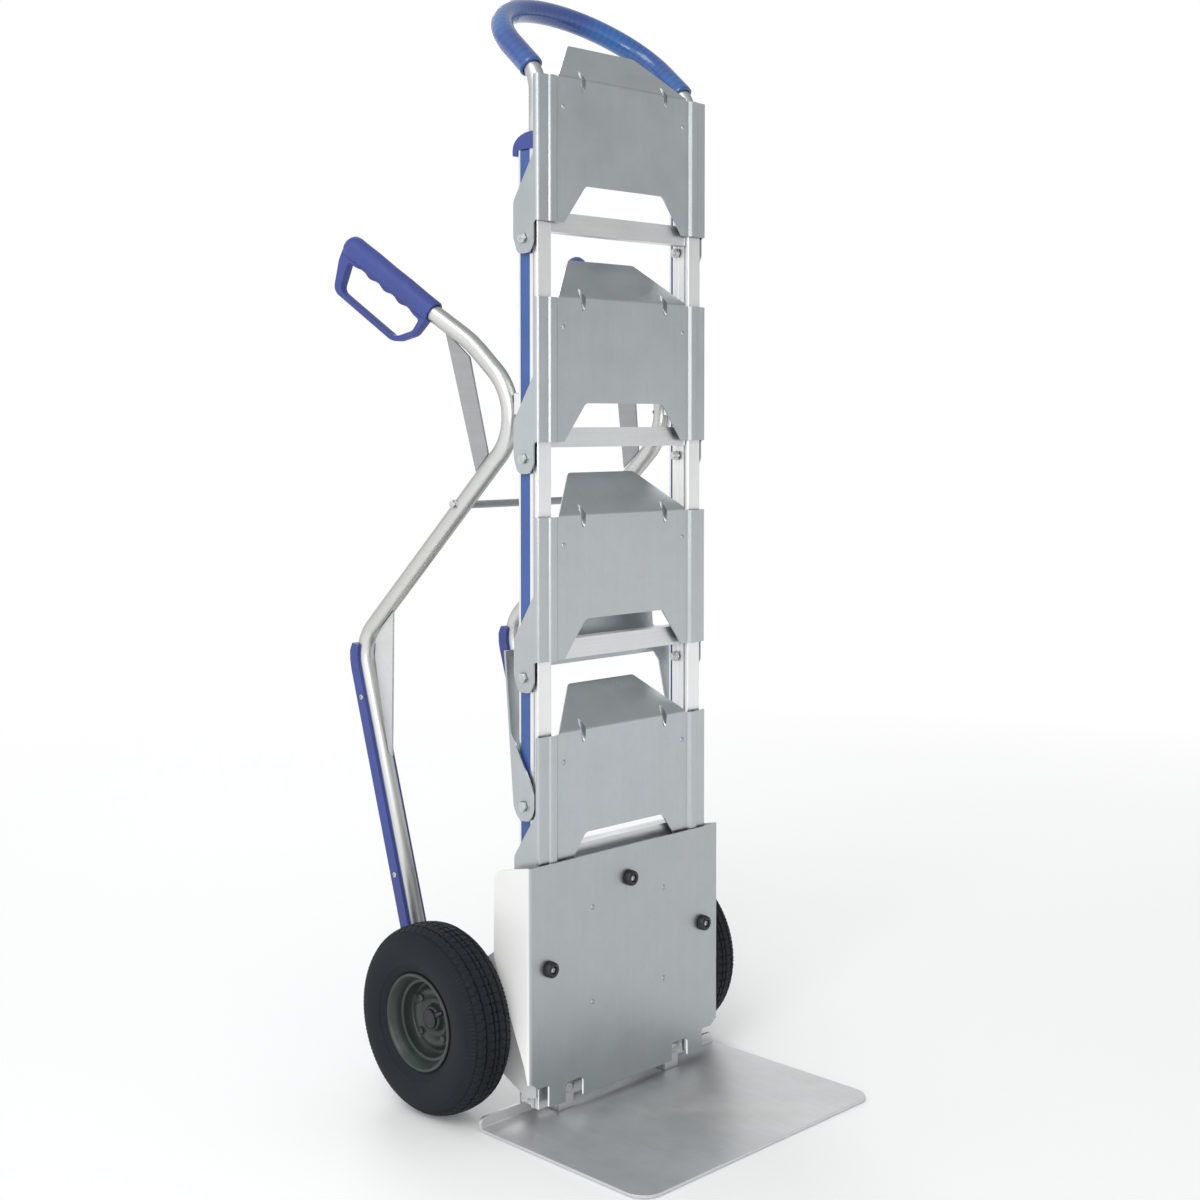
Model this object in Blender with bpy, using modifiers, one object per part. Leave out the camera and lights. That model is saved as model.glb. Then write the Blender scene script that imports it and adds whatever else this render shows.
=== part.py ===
"""Stair climbing trolley for water bottles: aluminium ladder frame, four tip-up trays,
a toe plate, two pneumatic wheels and rear stair struts with hand guards.

Lengths are in millimetres and become metres when the meshes are made.  X is across the
trolley (-X is "left"), -Y is the loading side and +Y the rear, Z is up.  The floor is Z = 0
and Y = 0 is the front face of the two uprights.
"""

import math

import bmesh
import bpy
from mathutils import Matrix, Vector

# ---------------------------------------------------------------- driving dimensions (mm)
SIDES = (("left", -1), ("right", 1))    # name and sign of X
GAP = 0.3                               # clearance between neighbouring pieces

UPRIGHT_INNER, UPRIGHT_OUTER = 137.5, 163.0     # faces of the uprights, |X|
UPRIGHT_DEPTH = 38.0                    # front to rear
UPRIGHT_BOTTOM, UPRIGHT_TOP = 20.0, 1318.0
UPRIGHT_RIB = 1.0                       # rib that stands proud of the inner face

TRAY_PITCH = 296.0
TRAY_PIVOTS_Z = [1199.0 - TRAY_PITCH * i for i in range(4)]
STAND_PIVOT_Z = 432.0
PIVOT_Y = 22.0                          # pivot axis of the trays and of the rear stand
SHEET = 2.5                             # sheet of the trays and the rear stand
FLANGE_OUTER = 169.0                    # outer face of the pivot flanges, |X|
FLANGE_MID = FLANGE_OUTER - SHEET / 2   # middle of their sheet

BOLT_R = 4.0
BOLT_HOLE_R = BOLT_R + GAP
HEX_R = 7.4                             # bolt heads and nuts, across corners / 2

PLATE_MID_Y = -11.5                     # middle of the lower front plate's sheet
PLATE_SHEET = 3.0
BLADE_SHEET = 4.5                       # toe plate

AXLE_Y, AXLE_Z, AXLE_R = 137.0, 130.0, 10.0
WHEEL_X = 230.0

HANDLE_X, HANDLE_Y = 150.25, 13.5       # handle tube where it leaves the uprights
HANDLE_R = 12.0
STRUT_X, STRUT_R = 150.0, 12.5
TUBE_WALL = 2.0                         # handle and struts

# ---------------------------------------------------------------- scene and materials
for old in list(bpy.data.objects):
    bpy.data.objects.remove(old, do_unlink=True)

PARTS = bpy.data.collections.new("stair_climbing_trolley")
bpy.context.scene.collection.children.link(PARTS)


def make_material(name, colour, roughness, metallic):
    material = bpy.data.materials.new(name)
    material.use_nodes = True
    shader = material.node_tree.nodes["Principled BSDF"]
    shader.inputs["Base Color"].default_value = (*colour, 1.0)
    shader.inputs["Roughness"].default_value = roughness
    shader.inputs["Metallic"].default_value = metallic
    material.diffuse_color = (*colour, 1.0)
    return material


MILL = make_material("mill_aluminium", colour=(0.62, 0.65, 0.66), roughness=0.38, metallic=1.0)
SHEET_METAL = make_material("aluminium_sheet", colour=(0.50, 0.53, 0.54), roughness=0.45,
                            metallic=1.0)
BLUE = make_material("blue_plastic", colour=(0.045, 0.075, 0.42), roughness=0.45, metallic=0.0)
GLOSSY_BLUE = make_material("glossy_blue_grip", colour=(0.02, 0.16, 0.50), roughness=0.22,
                            metallic=0.0)
TYRE_RUBBER = make_material("tyre_rubber", colour=(0.03, 0.03, 0.033), roughness=0.8,
                            metallic=0.0)
RIM_PAINT = make_material("rim_paint", colour=(0.05, 0.065, 0.055), roughness=0.5,
                          metallic=0.2)
ZINC = make_material("zinc_steel", colour=(0.55, 0.56, 0.55), roughness=0.35, metallic=1.0)
BLACK = make_material("black_rubber", colour=(0.015, 0.015, 0.015), roughness=0.6,
                      metallic=0.0)


# ---------------------------------------------------------------- making objects
def metres(x, y, z):
    return Vector((x, y, z)) / 1000.0


def new_part(name, data, material=None):
    part = bpy.data.objects.new(name, data)
    PARTS.objects.link(part)
    if material is not None:
        data.materials.clear()
        data.materials.append(material)
    return part


def mesh_from(work, name):
    """Turn a bmesh into a mesh and free it."""
    mesh = bpy.data.meshes.new(name)
    work.to_mesh(mesh)
    work.free()
    return mesh


def solid_from(work, name, material=None):
    bmesh.ops.recalc_face_normals(work, faces=work.faces[:])
    return new_part(name, mesh_from(work, name), material)


def baked(part, name, material=None, weld=1e-6):
    """A plain mesh object made from part as its modifiers leave it; part is removed.
    weld is the merging distance in metres."""
    bpy.context.view_layer.update()
    depsgraph = bpy.context.evaluated_depsgraph_get()
    mesh = bpy.data.meshes.new_from_object(part.evaluated_get(depsgraph))
    placement = part.matrix_world.copy()
    bpy.data.objects.remove(part, do_unlink=True)

    work = bmesh.new()
    work.from_mesh(mesh)
    bmesh.ops.remove_doubles(work, verts=work.verts[:], dist=weld)
    bmesh.ops.recalc_face_normals(work, faces=work.faces[:])
    work.to_mesh(mesh)
    work.free()
    result = new_part(name, mesh, material)
    result.matrix_world = placement
    return result


def boolean(part, other, operation):
    """Combine other into part and remove other."""
    modifier = part.modifiers.new("boolean", "BOOLEAN")
    modifier.object = other
    modifier.operation = operation
    modifier.solver = "EXACT"
    result = baked(part, part.name, part.data.materials[0])
    bpy.data.objects.remove(other, do_unlink=True)
    return result


def set_origin(part, x, y, z):
    """Move the origin of an unplaced part to a world point; its shape stays in place."""
    origin = metres(x, y, z)
    part.data.transform(Matrix.Translation(-origin))
    part.matrix_world = Matrix.Translation(origin)


# ---------------------------------------------------------------- basic shapes
def rod(name, centre, axis, radius, length, sides=12, material=None, turn=0.0):
    """A cylinder along the X, Y or Z axis; turn rotates it about its own axis."""
    work = bmesh.new()
    bmesh.ops.create_cone(work, cap_ends=True, segments=sides, radius1=radius / 1000.0,
                          radius2=radius / 1000.0, depth=length / 1000.0)
    bmesh.ops.rotate(work, verts=work.verts[:], matrix=Matrix.Rotation(turn, 3, "Z"))
    if axis == "X":
        tip_over = Matrix.Rotation(math.pi / 2, 3, "Y")
        bmesh.ops.rotate(work, verts=work.verts[:], matrix=tip_over)
    elif axis == "Y":
        tip_over = Matrix.Rotation(-math.pi / 2, 3, "X")
        bmesh.ops.rotate(work, verts=work.verts[:], matrix=tip_over)
    bmesh.ops.translate(work, verts=work.verts[:], vec=metres(*centre))
    return solid_from(work, name, material)


def drill(part, centre, axis, radius, length, sides=12, turn=0.0):
    cutter = rod("cutter", centre, axis, radius, length, sides, turn=turn)
    return boolean(part, cutter, "DIFFERENCE")


def add_rod(part, centre, axis, radius, length, sides=12):
    return boolean(part, rod("added", centre, axis, radius, length, sides), "UNION")


PLANES = {
    # columns: the outline's x, its y and the extrusion direction, in world axes
    "XY": Matrix(((1, 0, 0), (0, 1, 0), (0, 0, 1))),
    "YZ": Matrix(((0, 0, 1), (1, 0, 0), (0, 1, 0))),
}


def flat(name, outline, plane, start, end, material, holes=()):
    """A flat outline, filled and extruded from start to end along the plane's normal."""
    curve = bpy.data.curves.new(name, "CURVE")
    curve.dimensions = "2D"
    curve.fill_mode = "BOTH"
    curve.extrude = abs(end - start) / 2000.0
    for loop in [outline, *holes]:
        spline = curve.splines.new("POLY")
        spline.points.add(len(loop) - 1)
        for knot, (x, y) in zip(spline.points, loop):
            knot.co = (x / 1000.0, y / 1000.0, 0.0, 1.0)
        spline.use_cyclic_u = True
    part = new_part(name + "_outline", curve)
    rotation = PLANES[plane]
    middle = rotation @ Vector((0, 0, 1)) * ((start + end) / 2000.0)
    part.matrix_world = Matrix.Translation(middle) @ rotation.to_4x4()
    part = baked(part, name, material, weld=2e-6)
    # the mesh takes the world placement, so later cuts work in world axes
    part.data.transform(part.matrix_world)
    part.matrix_world = Matrix.Identity(4)
    return part


def sheet(name, panels, thickness):
    """A folded sheet: planar panels that share their bend lines, given thickness about
    their middle surface."""
    work = bmesh.new()
    for panel in panels:
        work.faces.new([work.verts.new(metres(*corner)) for corner in panel])
    bmesh.ops.remove_doubles(work, verts=work.verts[:], dist=1e-6)
    part = solid_from(work, name + "_panels")
    modifier = part.modifiers.new("sheet", "SOLIDIFY")
    modifier.thickness = thickness / 1000.0
    modifier.offset = 0.0
    modifier.solidify_mode = "NON_MANIFOLD"
    modifier.nonmanifold_thickness_mode = "CONSTRAINTS"
    return baked(part, name, SHEET_METAL)


def wire(name, points, radius, caps):
    """A curve through the points, swept with an eight-sided section."""
    curve = bpy.data.curves.new(name, "CURVE")
    curve.dimensions = "3D"
    curve.bevel_depth = radius / 1000.0
    curve.bevel_resolution = 1
    curve.use_fill_caps = caps
    curve.twist_mode = "MINIMUM"
    spline = curve.splines.new("POLY")
    spline.points.add(len(points) - 1)
    for knot, (x, y, z) in zip(spline.points, points):
        knot.co = (x / 1000.0, y / 1000.0, z / 1000.0, 1.0)
    return new_part(name + "_curve", curve)


def pipe(name, points, radius, wall, material):
    """A hollow tube with open ends: an open swept skin whose wall grows inward."""
    part = baked(wire(name, points, radius, caps=False), name, material)
    modifier = part.modifiers.new("wall", "SOLIDIFY")
    modifier.thickness = wall / 1000.0
    modifier.offset = -1.0
    modifier.use_even_offset = False
    part.data.shade_smooth()


# ---------------------------------------------------------------- outlines and paths
def reflected(points):
    """The points mirrored in x and run backward, to close a symmetric outline."""
    return [(-x, y) for x, y in reversed(points)]


def circle(centre_x, centre_y, radius, count):
    angles = [2 * math.pi * i / count for i in range(count)]
    return [(centre_x + radius * math.cos(angle), centre_y + radius * math.sin(angle))
            for angle in angles]


def corner_arc(before, corner, after, radius):
    """Centre of the arc that rounds a corner, and its two ends relative to the centre."""
    back = (before - corner).normalized()
    ahead = (after - corner).normalized()
    half_angle = back.angle(ahead) / 2
    tangent = radius / math.tan(half_angle)
    centre = corner + (back + ahead).normalized() * (radius / math.sin(half_angle))
    return centre, corner + back * tangent - centre, corner + ahead * tangent - centre


def rounded(points, radii, steps):
    """A closed 2-D outline whose corners are rounded to the given radii."""
    points = [Vector(p) for p in points]
    out = []
    for i, (corner, radius) in enumerate(zip(points, radii)):
        if radius <= 0:
            out.append(tuple(corner))
            continue
        after = points[(i + 1) % len(points)]
        centre, start, end = corner_arc(points[i - 1], corner, after, radius)
        turn = math.atan2(start.x * end.y - start.y * end.x, start.dot(end))
        for k in range(steps + 1):
            out.append(tuple(centre + Matrix.Rotation(turn * k / steps, 2) @ start))
    return out


def fillet_path(points, radii, step):
    """A 3-D polyline whose inner corners become arcs of about step degrees a segment."""
    points = [Vector(p) for p in points]
    out = [points[0]]
    for i in range(1, len(points) - 1):
        centre, start, end = corner_arc(points[i - 1], points[i], points[i + 1], radii[i])
        turn = start.angle(end)
        axis = start.cross(end).normalized()
        count = max(2, round(math.degrees(turn) / step))
        for k in range(count + 1):
            out.append(centre + Matrix.Rotation(turn * k / count, 3, axis) @ start)
    out.append(points[-1])
    return out


# ---------------------------------------------------------------- uprights
STRIP_FRONT, STRIP_REAR = 15.0, 33.6    # outer channel that holds the blue strip, Y
STRIP_DEPTH = 5.2
STRIP_BOTTOM = 62.0
PIVOT_HOLE_TURN = 0.13                  # turns the facets of the pivot holes, radians


def drill_pivots(part, x, length):
    for z in TRAY_PIVOTS_Z + [STAND_PIVOT_Z]:
        part = drill(part, (x, PIVOT_Y, z), "X", BOLT_HOLE_R, length, turn=PIVOT_HOLE_TURN)


def upright(side, sign):
    """Aluminium extrusion: outer channel for the strip, thin grooves, hollow core."""
    width = UPRIGHT_OUTER - UPRIGHT_INNER
    floor = width - STRIP_DEPTH         # floor of the strip channel
    # distance outward from the inner face, Y
    section = [
        (0, 0.8), (0.8, 0), (width - 0.8, 0), (width, 0.8),
        (width, 5.6), (width - 1.6, 6.2), (width - 1.6, 8.2), (width, 8.8),
        (width, STRIP_FRONT), (floor, STRIP_FRONT), (floor, STRIP_REAR), (width, STRIP_REAR),
        (width, UPRIGHT_DEPTH - 0.8), (width - 0.8, UPRIGHT_DEPTH),
        (0.8, UPRIGHT_DEPTH), (0, UPRIGHT_DEPTH - 0.8),
        (0, 34.0), (1.6, 33.4), (1.6, 31.6), (0, 31.0),
        (0, 22.5), (-UPRIGHT_RIB, 21.8), (-UPRIGHT_RIB, 19.2), (0, 18.5),
        (0, 8.6), (2.2, 8.0), (2.2, 5.6), (0, 5.0)]
    core = [(4.8, 9.6), (floor - 2.6, 9.6), (floor - 2.6, 33.2), (4.8, 33.2)]

    def placed(points):
        return [(sign * (UPRIGHT_INNER + x), y) for x, y in points]

    part = flat("upright_" + side, placed(section), "XY", UPRIGHT_BOTTOM, UPRIGHT_TOP, MILL,
                holes=[placed(core)])
    drill_pivots(part, sign * 150, 60)


def strip(side, sign):
    """Blue plastic strip clipped into the outer channel of an upright."""
    inner = sign * (UPRIGHT_OUTER - STRIP_DEPTH + GAP)
    outer = sign * (UPRIGHT_OUTER - 0.3)
    front, rear = STRIP_FRONT + GAP, STRIP_REAR - GAP
    outline = [(inner, front), (outer, front), (outer, rear), (inner, rear)]
    part = flat("blue_strip_" + side, outline, "XY", STRIP_BOTTOM, UPRIGHT_TOP - 1, BLUE)
    drill_pivots(part, sign * 160, 20)


def end_cap(side, sign):
    """Blue cap on an upright: rounded to the rear, with a nose that hangs behind it."""
    bottom, top, nose_bottom = UPRIGHT_TOP + GAP, 1341.0, 1311.0
    behind = UPRIGHT_DEPTH + 0.5
    arc_rear, arc_length, arc_rise = 48.0, 34.0, 22.0
    angles = [math.pi / 2 * k / 6 for k in range(7)]
    arc = [(arc_rear - arc_length * (1 - math.cos(angle)),
            top - arc_rise + arc_rise * math.sin(angle)) for angle in angles]
    side_view = [(-1.5, bottom), (behind, bottom), (behind, nose_bottom),
                 (arc_rear, nose_bottom), *arc, (1.5, top), (-1.5, top - 3)]
    part = flat("end_cap_" + side, side_view, "YZ", sign * 136.6, sign * 164.0, BLUE)
    drill(part, (sign * HANDLE_X, HANDLE_Y, 1330), "Z", HANDLE_R + 0.35, 60, 16)


for side, sign in SIDES:
    upright(side, sign)
    strip(side, sign)
    end_cap(side, sign)


# ---------------------------------------------------------------- push handle
HANDLE_LEAN = 48.0                      # degrees rearward from the vertical
HANDLE_BEND_START_Z, HANDLE_CORNER_Z, HANDLE_BEND_R = 1372.0, 1420.0, 52.0
HANDLE_STRAIGHT = 66.0                  # from the corner to the arch, along the lean
ARCH_RISE, ARCH_STEPS = 122.0, 8
SLEEVE_R, SLEEVE_WALL, SLEEVE_FROM_Z = 16.5, 3.6, 1429.0


def handle_path():
    """Straight out of the uprights, then bent rearward into an arch."""
    lean = math.radians(HANDLE_LEAN)
    along = Vector((0, math.sin(lean), math.cos(lean)))
    foot = Vector((HANDLE_X, HANDLE_Y, UPRIGHT_TOP + GAP))
    bend_start = Vector((HANDLE_X, HANDLE_Y, HANDLE_BEND_START_Z))
    corner = Vector((HANDLE_X, HANDLE_Y, HANDLE_CORNER_Z))
    half = [foot] + fillet_path([bend_start, corner, corner + along * HANDLE_STRAIGHT],
                                [0, HANDLE_BEND_R, 0], step=12.0)
    for k in range(1, ARCH_STEPS + 1):
        angle = math.pi / 2 * k / ARCH_STEPS
        base = Vector((HANDLE_X * math.cos(angle), HANDLE_Y, HANDLE_CORNER_Z))
        half.append(base + along * (HANDLE_STRAIGHT + ARCH_RISE * math.sin(angle)))
    return half + [Vector((-p.x, p.y, p.z)) for p in reversed(half[:-1])]


def handle():
    path = handle_path()
    pipe("handle_tube", path, HANDLE_R, TUBE_WALL, MILL)
    first = next(i for i, p in enumerate(path) if p.z > SLEEVE_FROM_Z)
    pipe("handle_sleeve", path[first:len(path) - first], SLEEVE_R, SLEEVE_WALL, GLOSSY_BLUE)


handle()


# ---------------------------------------------------------------- cross bars
RUNG_TOPS = [1236.0, 945.0, 655.0, 369.0]
RUNG_FRONT, RUNG_DEPTH = 5.0, 20.0
RAIL_MIDDLES = [281.0, 147.0]           # rails behind the lower front plate, Z
RAIL_DEPTH = 28.0
BAR_HEIGHT = 27.0                       # rungs and rails
BAR_WALL = 2.4
BAR_HALF = UPRIGHT_INNER - UPRIGHT_RIB - GAP


def channel_bar(name, top, bottom, front, depth):
    """A U-shaped cross bar between the uprights, open to the rear."""
    rear, web = front + depth, front + BAR_WALL
    # Y, Z
    section = [(front, bottom), (rear, bottom), (rear, bottom + BAR_WALL),
               (web, bottom + BAR_WALL), (web, top - BAR_WALL), (rear, top - BAR_WALL),
               (rear, top), (front, top)]
    return flat(name, section, "YZ", -BAR_HALF, BAR_HALF, MILL)


for number, top in enumerate(RUNG_TOPS, 1):
    channel_bar("rung_%d" % number, top, top - BAR_HEIGHT, RUNG_FRONT, RUNG_DEPTH)
for number, middle in enumerate(RAIL_MIDDLES, 1):
    channel_bar("plate_rail_%d" % number, middle + BAR_HEIGHT / 2, middle - BAR_HEIGHT / 2,
                PLATE_MID_Y + PLATE_SHEET / 2 + GAP, RAIL_DEPTH)


# ---------------------------------------------------------------- trays
# Heights are above the tray's pivot.
TRAY_LOW, TRAY_HIGH = 22.5, 217.0
TRAY_PLATE_Y, TRAY_PLATE_HALF = -3.75, 129.6    # recessed plate
HAT_Y = -5.5                            # front panel over each upright
LIP_SLANT, LIP_ANGLE = 74.0, 40.0       # length; degrees rearward from the vertical
LIP_BASE, LIP_TIP = 129.0, 65.0         # half widths
LIP_BEND_R = 4.0
LIP_CHAMFER = 6.0                       # along the slant, at the tip's corners
NOTCH_TOP_Z, NOTCH_TOP, NOTCH_BOTTOM = 75.0, 77.0, 118.0    # height and half widths
NOTCH_R = 10.0

HAT_PROFILE = [                         # |X|, Y from the outer edge to the plate
    (FLANGE_MID, HAT_Y + 2.6), (FLANGE_MID - 0.8, HAT_Y + 0.8), (FLANGE_MID - 2.6, HAT_Y),
    (148.5, HAT_Y), (146.3, HAT_Y - 1.7), (143.0, HAT_Y - 2.8), (139.0, HAT_Y - 2.8),
    (135.6, HAT_Y - 1.4), (132.0, TRAY_PLATE_Y - 0.9), (TRAY_PLATE_HALF, TRAY_PLATE_Y)]
FLANGE_FOOT = [                         # Y, height: round the pivot, from rear to front
    (41.5, 50.0), (41.5, 4.0), (38.5, -8.0), (31.0, -19.0), (27.0, -20.0), (17.0, -20.0),
    (8.0, -15.0), (3.5, -8.0), (2.5, 0.0), (2.5, 19.5)]


def tray_side(sign, rear):
    """Panels of the hat over one upright, and the pivot flange outside it."""
    panels = []
    for (xa, ya), (xb, yb) in zip(HAT_PROFILE, HAT_PROFILE[1:]):
        panels.append([(sign * xa, ya, TRAY_LOW), (sign * xb, yb, TRAY_LOW),
                       (sign * xb, yb, TRAY_HIGH), (sign * xa, ya, TRAY_HIGH)])
    front = HAT_PROFILE[0][1]
    flange = [(front, TRAY_LOW), (front, TRAY_HIGH), (rear - 1.3, TRAY_HIGH),
              (rear, TRAY_HIGH - 3.0), (rear, 112.0), *FLANGE_FOOT]
    panels.append([(sign * FLANGE_MID, y, z) for y, z in flange])
    return panels


def tray_plate():
    """The recessed plate, with a notch in its lower edge."""
    notch = rounded([(-NOTCH_BOTTOM, TRAY_LOW), (-NOTCH_TOP, NOTCH_TOP_Z),
                     (NOTCH_TOP, NOTCH_TOP_Z), (NOTCH_BOTTOM, TRAY_LOW)],
                    [0, NOTCH_R, NOTCH_R, 0], 3)
    half = TRAY_PLATE_HALF
    outline = [(-half, TRAY_HIGH), (-half, TRAY_LOW), *notch, (half, TRAY_LOW),
               (half, TRAY_HIGH)]
    return [(x, TRAY_PLATE_Y, z) for x, z in outline]


def tray_lip():
    """Panels of a small bend, then a flat trapezium that leans to the rear."""
    lean = math.radians(LIP_ANGLE)
    rows = []                           # half width, Y, height
    for k in range(3):
        angle = lean * k / 2
        rise = LIP_BEND_R * math.sin(angle)
        run = LIP_BEND_R * (1 - math.cos(angle))
        share = math.hypot(run, rise) / LIP_SLANT
        half = TRAY_PLATE_HALF if k == 0 else LIP_BASE + (LIP_TIP - LIP_BASE) * share
        rows.append((half, TRAY_PLATE_Y + run, TRAY_HIGH + rise))
    panels = [[(-wa, ya, za), (wa, ya, za), (wb, yb, zb), (-wb, yb, zb)]
              for (wa, ya, za), (wb, yb, zb) in zip(rows, rows[1:])]
    half, y, z = rows[-1]
    tip_y = TRAY_PLATE_Y + LIP_SLANT * math.sin(lean)
    tip_z = TRAY_HIGH + LIP_SLANT * math.cos(lean)
    share = LIP_CHAMFER / LIP_SLANT
    corner_y, corner_z = tip_y + (y - tip_y) * share, tip_z + (z - tip_z) * share
    wide, narrow = LIP_TIP + 4.5, LIP_TIP - 4.0
    panels.append([(-half, y, z), (half, y, z), (wide, corner_y, corner_z),
                   (narrow, tip_y, tip_z), (-narrow, tip_y, tip_z),
                   (-wide, corner_y, corner_z)])
    return panels


def tray(number, pivot_z):
    """One tip-up tray, drawn standing up, as it is stowed."""
    # the lowest tray leaves room for the stand's arms
    rear = -1.5 if number == 4 else 2.0
    panels = tray_side(-1, rear) + tray_side(1, rear) + [tray_plate()] + tray_lip()
    panels = [[(x, y, pivot_z + z) for x, y, z in panel] for panel in panels]
    part = sheet("tray_%d" % number, panels, SHEET)
    for _, sign in SIDES:
        part = drill(part, (sign * FLANGE_MID, PIVOT_Y, pivot_z), "X", BOLT_HOLE_R, 12)
    set_origin(part, 0, PIVOT_Y, pivot_z)


for number, pivot_z in enumerate(TRAY_PIVOTS_Z, 1):
    tray(number, pivot_z)


# ---------------------------------------------------------------- pivot bolts
PIVOT_BOLT = [                          # centre |X|, radius, length, sides
    (171.6, HEX_R, 4.6, 6),             # head
    (149.5, BOLT_R, 43.0, 12),          # shank
    (164.85, 8.0, 2.5, 16),             # washer between flange and upright
    (132.6, HEX_R, 6.4, 6)]             # nut on the inner side


def bolt(name, axis, sections):
    """Hexagon bolt joined from coaxial (centre, radius, length, sides) sections."""
    head, *others = sections
    centre, radius, length, sides = head
    part = rod(name, centre, axis, radius, length, sides, ZINC)
    for centre, radius, length, sides in others:
        part = add_rod(part, centre, axis, radius, length, sides)


def pivot_bolt(name, sign, z):
    bolt(name, "X", [((sign * x, PIVOT_Y, z), *size) for x, *size in PIVOT_BOLT])


for side, sign in SIDES:
    for number, pivot_z in enumerate(TRAY_PIVOTS_Z, 1):
        pivot_bolt("tray_%d_bolt_%s" % (number, side), sign, pivot_z)
    pivot_bolt("stand_bolt_" + side, sign, STAND_PIVOT_Z)


# ---------------------------------------------------------------- lower front plate
PLATE_HALF, PLATE_TOP = 189.0, 356.0
PLATE_LOW_MID, PLATE_LOW_SIDE = 24.0, 55.0      # lower edge, between and outside the steps
PLATE_STEP_X = 155.0
PLATE_BEND_R = 2.5
SLOT_INNER, SLOT_OUTER, SLOT_TOP, SLOT_R = 90, 124, 50, 5   # slots in the lower edge
BUFFERS = [("left", -155.0, 214.0), ("right", 155.0, 214.0), ("top", 0.0, 310.0)]   # X, Z


def front_plate():
    """Flat back plate for the lowest load, with wings bent rearward beside the wheels."""
    edge = PLATE_HALF - PLATE_BEND_R
    wing_low = PLATE_LOW_SIDE + 8
    left_half = [                       # X, Z, corner radius
        (-edge, PLATE_TOP, 0), (-edge, wing_low, 0), (-PLATE_HALF + 12, PLATE_LOW_SIDE, 0),
        (-PLATE_STEP_X, PLATE_LOW_SIDE, 0), (-PLATE_STEP_X, PLATE_LOW_MID, 0),
        (-SLOT_OUTER, PLATE_LOW_MID, 0), (-SLOT_OUTER, SLOT_TOP, SLOT_R),
        (-SLOT_INNER, SLOT_TOP, SLOT_R), (-SLOT_INNER, PLATE_LOW_MID, 0)]
    corners = [(x, z) for x, z, _ in left_half]
    radii = [radius for _, _, radius in left_half]
    outline = rounded(corners + reflected(corners), radii + radii[::-1], 2)
    panels = [[(x, PLATE_MID_Y, z) for x, z in outline]]

    bend_y = PLATE_MID_Y + PLATE_BEND_R
    wing = [(bend_y, wing_low), (bend_y, PLATE_TOP), (41.0, 345.0), (52.0, 340.5),
            (58.0, 331.0), (59.0, 320.0), (58.0, 222.0), (-2.0, 84.0)]      # Y, Z
    for _, sign in SIDES:
        inner, outer = sign * edge, sign * PLATE_HALF
        panels.append([(inner, PLATE_MID_Y, wing_low), (inner, PLATE_MID_Y, PLATE_TOP),
                       (outer, bend_y, PLATE_TOP), (outer, bend_y, wing_low)])
        panels.append([(outer, y, z) for y, z in wing])
    part = sheet("front_plate", panels, PLATE_SHEET)
    for _, x, z in BUFFERS:
        part = drill(part, (x, PLATE_MID_Y, z), "Y", 3.3, 12, 10)


def rubber_buffer(name, x, z):
    """Black rubber buffer on a short stem that passes through the plate."""
    length = 10.0
    plate_face = PLATE_MID_Y - PLATE_SHEET / 2
    part = rod(name, (x, plate_face - GAP - length / 2, z), "Y", 11.0, length, 20, BLACK)
    modifier = part.modifiers.new("edge", "BEVEL")
    modifier.width = 0.002              # metres
    modifier.segments = 2
    modifier.limit_method = "ANGLE"
    part = baked(part, name, BLACK)
    add_rod(part, (x, -9.5, z), "Y", 3.0, 13.0, 10)


front_plate()
for tag, x, z in BUFFERS:
    rubber_buffer("rubber_buffer_" + tag, x, z)


# ---------------------------------------------------------------- toe plate and its brackets
BLADE_HALF, BLADE_FRONT, BLADE_REAR = 235.0, -266.0, 40.0
BLADE_LIP_TOP = 19.0
BLADE_BEND_R, BLADE_CORNER_R = 2.5, 30
TOE_BOLT_X, TOE_BOLT_Z = 107, 36
BRACKET_HALF = 14
TOE_BOLT = [                            # centre Y, radius, length, sides
    (1.0, HEX_R, 4.6, 6),               # head
    (9.0, BOLT_R, 16.0, 12),            # shank
    (14.0, HEX_R, 6.0, 6)]              # nut


def toe_plate():
    """Flat shovel with rounded front corners and an upturned rear lip."""
    z = BLADE_SHEET / 2
    lip_y = BLADE_REAR - BLADE_SHEET / 2
    bend_y, bend_z = lip_y - BLADE_BEND_R, z + BLADE_BEND_R
    half, top = BLADE_HALF, BLADE_LIP_TOP
    outline = rounded([(-half, bend_y), (-half, BLADE_FRONT), (half, BLADE_FRONT),
                       (half, bend_y)], [0, BLADE_CORNER_R, BLADE_CORNER_R, 0], 5)
    bend = [(-half, bend_y, z), (half, bend_y, z), (half, lip_y, bend_z),
            (-half, lip_y, bend_z)]
    lip = [(-half, bend_z), (half, bend_z), (half, top - 5), (half - 6, top),
           (-half + 6, top), (-half, top - 5)]
    panels = [[(x, y, z) for x, y in outline], bend, [(x, lip_y, height) for x, height in lip]]
    sheet("toe_plate", panels, BLADE_SHEET)


def bottom_rung():
    part = channel_bar("bottom_rung", 52.0, 22.0, 8.0, 22.0)
    for _, sign in SIDES:
        part = drill(part, (sign * TOE_BOLT_X, 10, TOE_BOLT_Z), "Y", BOLT_HOLE_R, 12)


def toe_bracket(side, sign):
    """Angle that joins the toe plate to the bottom rung."""
    front, web_rear, rear = 3.6, 7.7, 31.0
    bottom, foot_top, top = BLADE_SHEET + GAP, BLADE_SHEET + 4.3, 50.0
    section = [(front, bottom), (rear, bottom), (rear, foot_top), (web_rear, foot_top),
               (web_rear, top), (front, top)]
    x = sign * TOE_BOLT_X
    part = flat("toe_bracket_" + side, section, "YZ", x - BRACKET_HALF, x + BRACKET_HALF, MILL)
    drill(part, (x, 6, TOE_BOLT_Z), "Y", BOLT_HOLE_R, 12)


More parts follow.
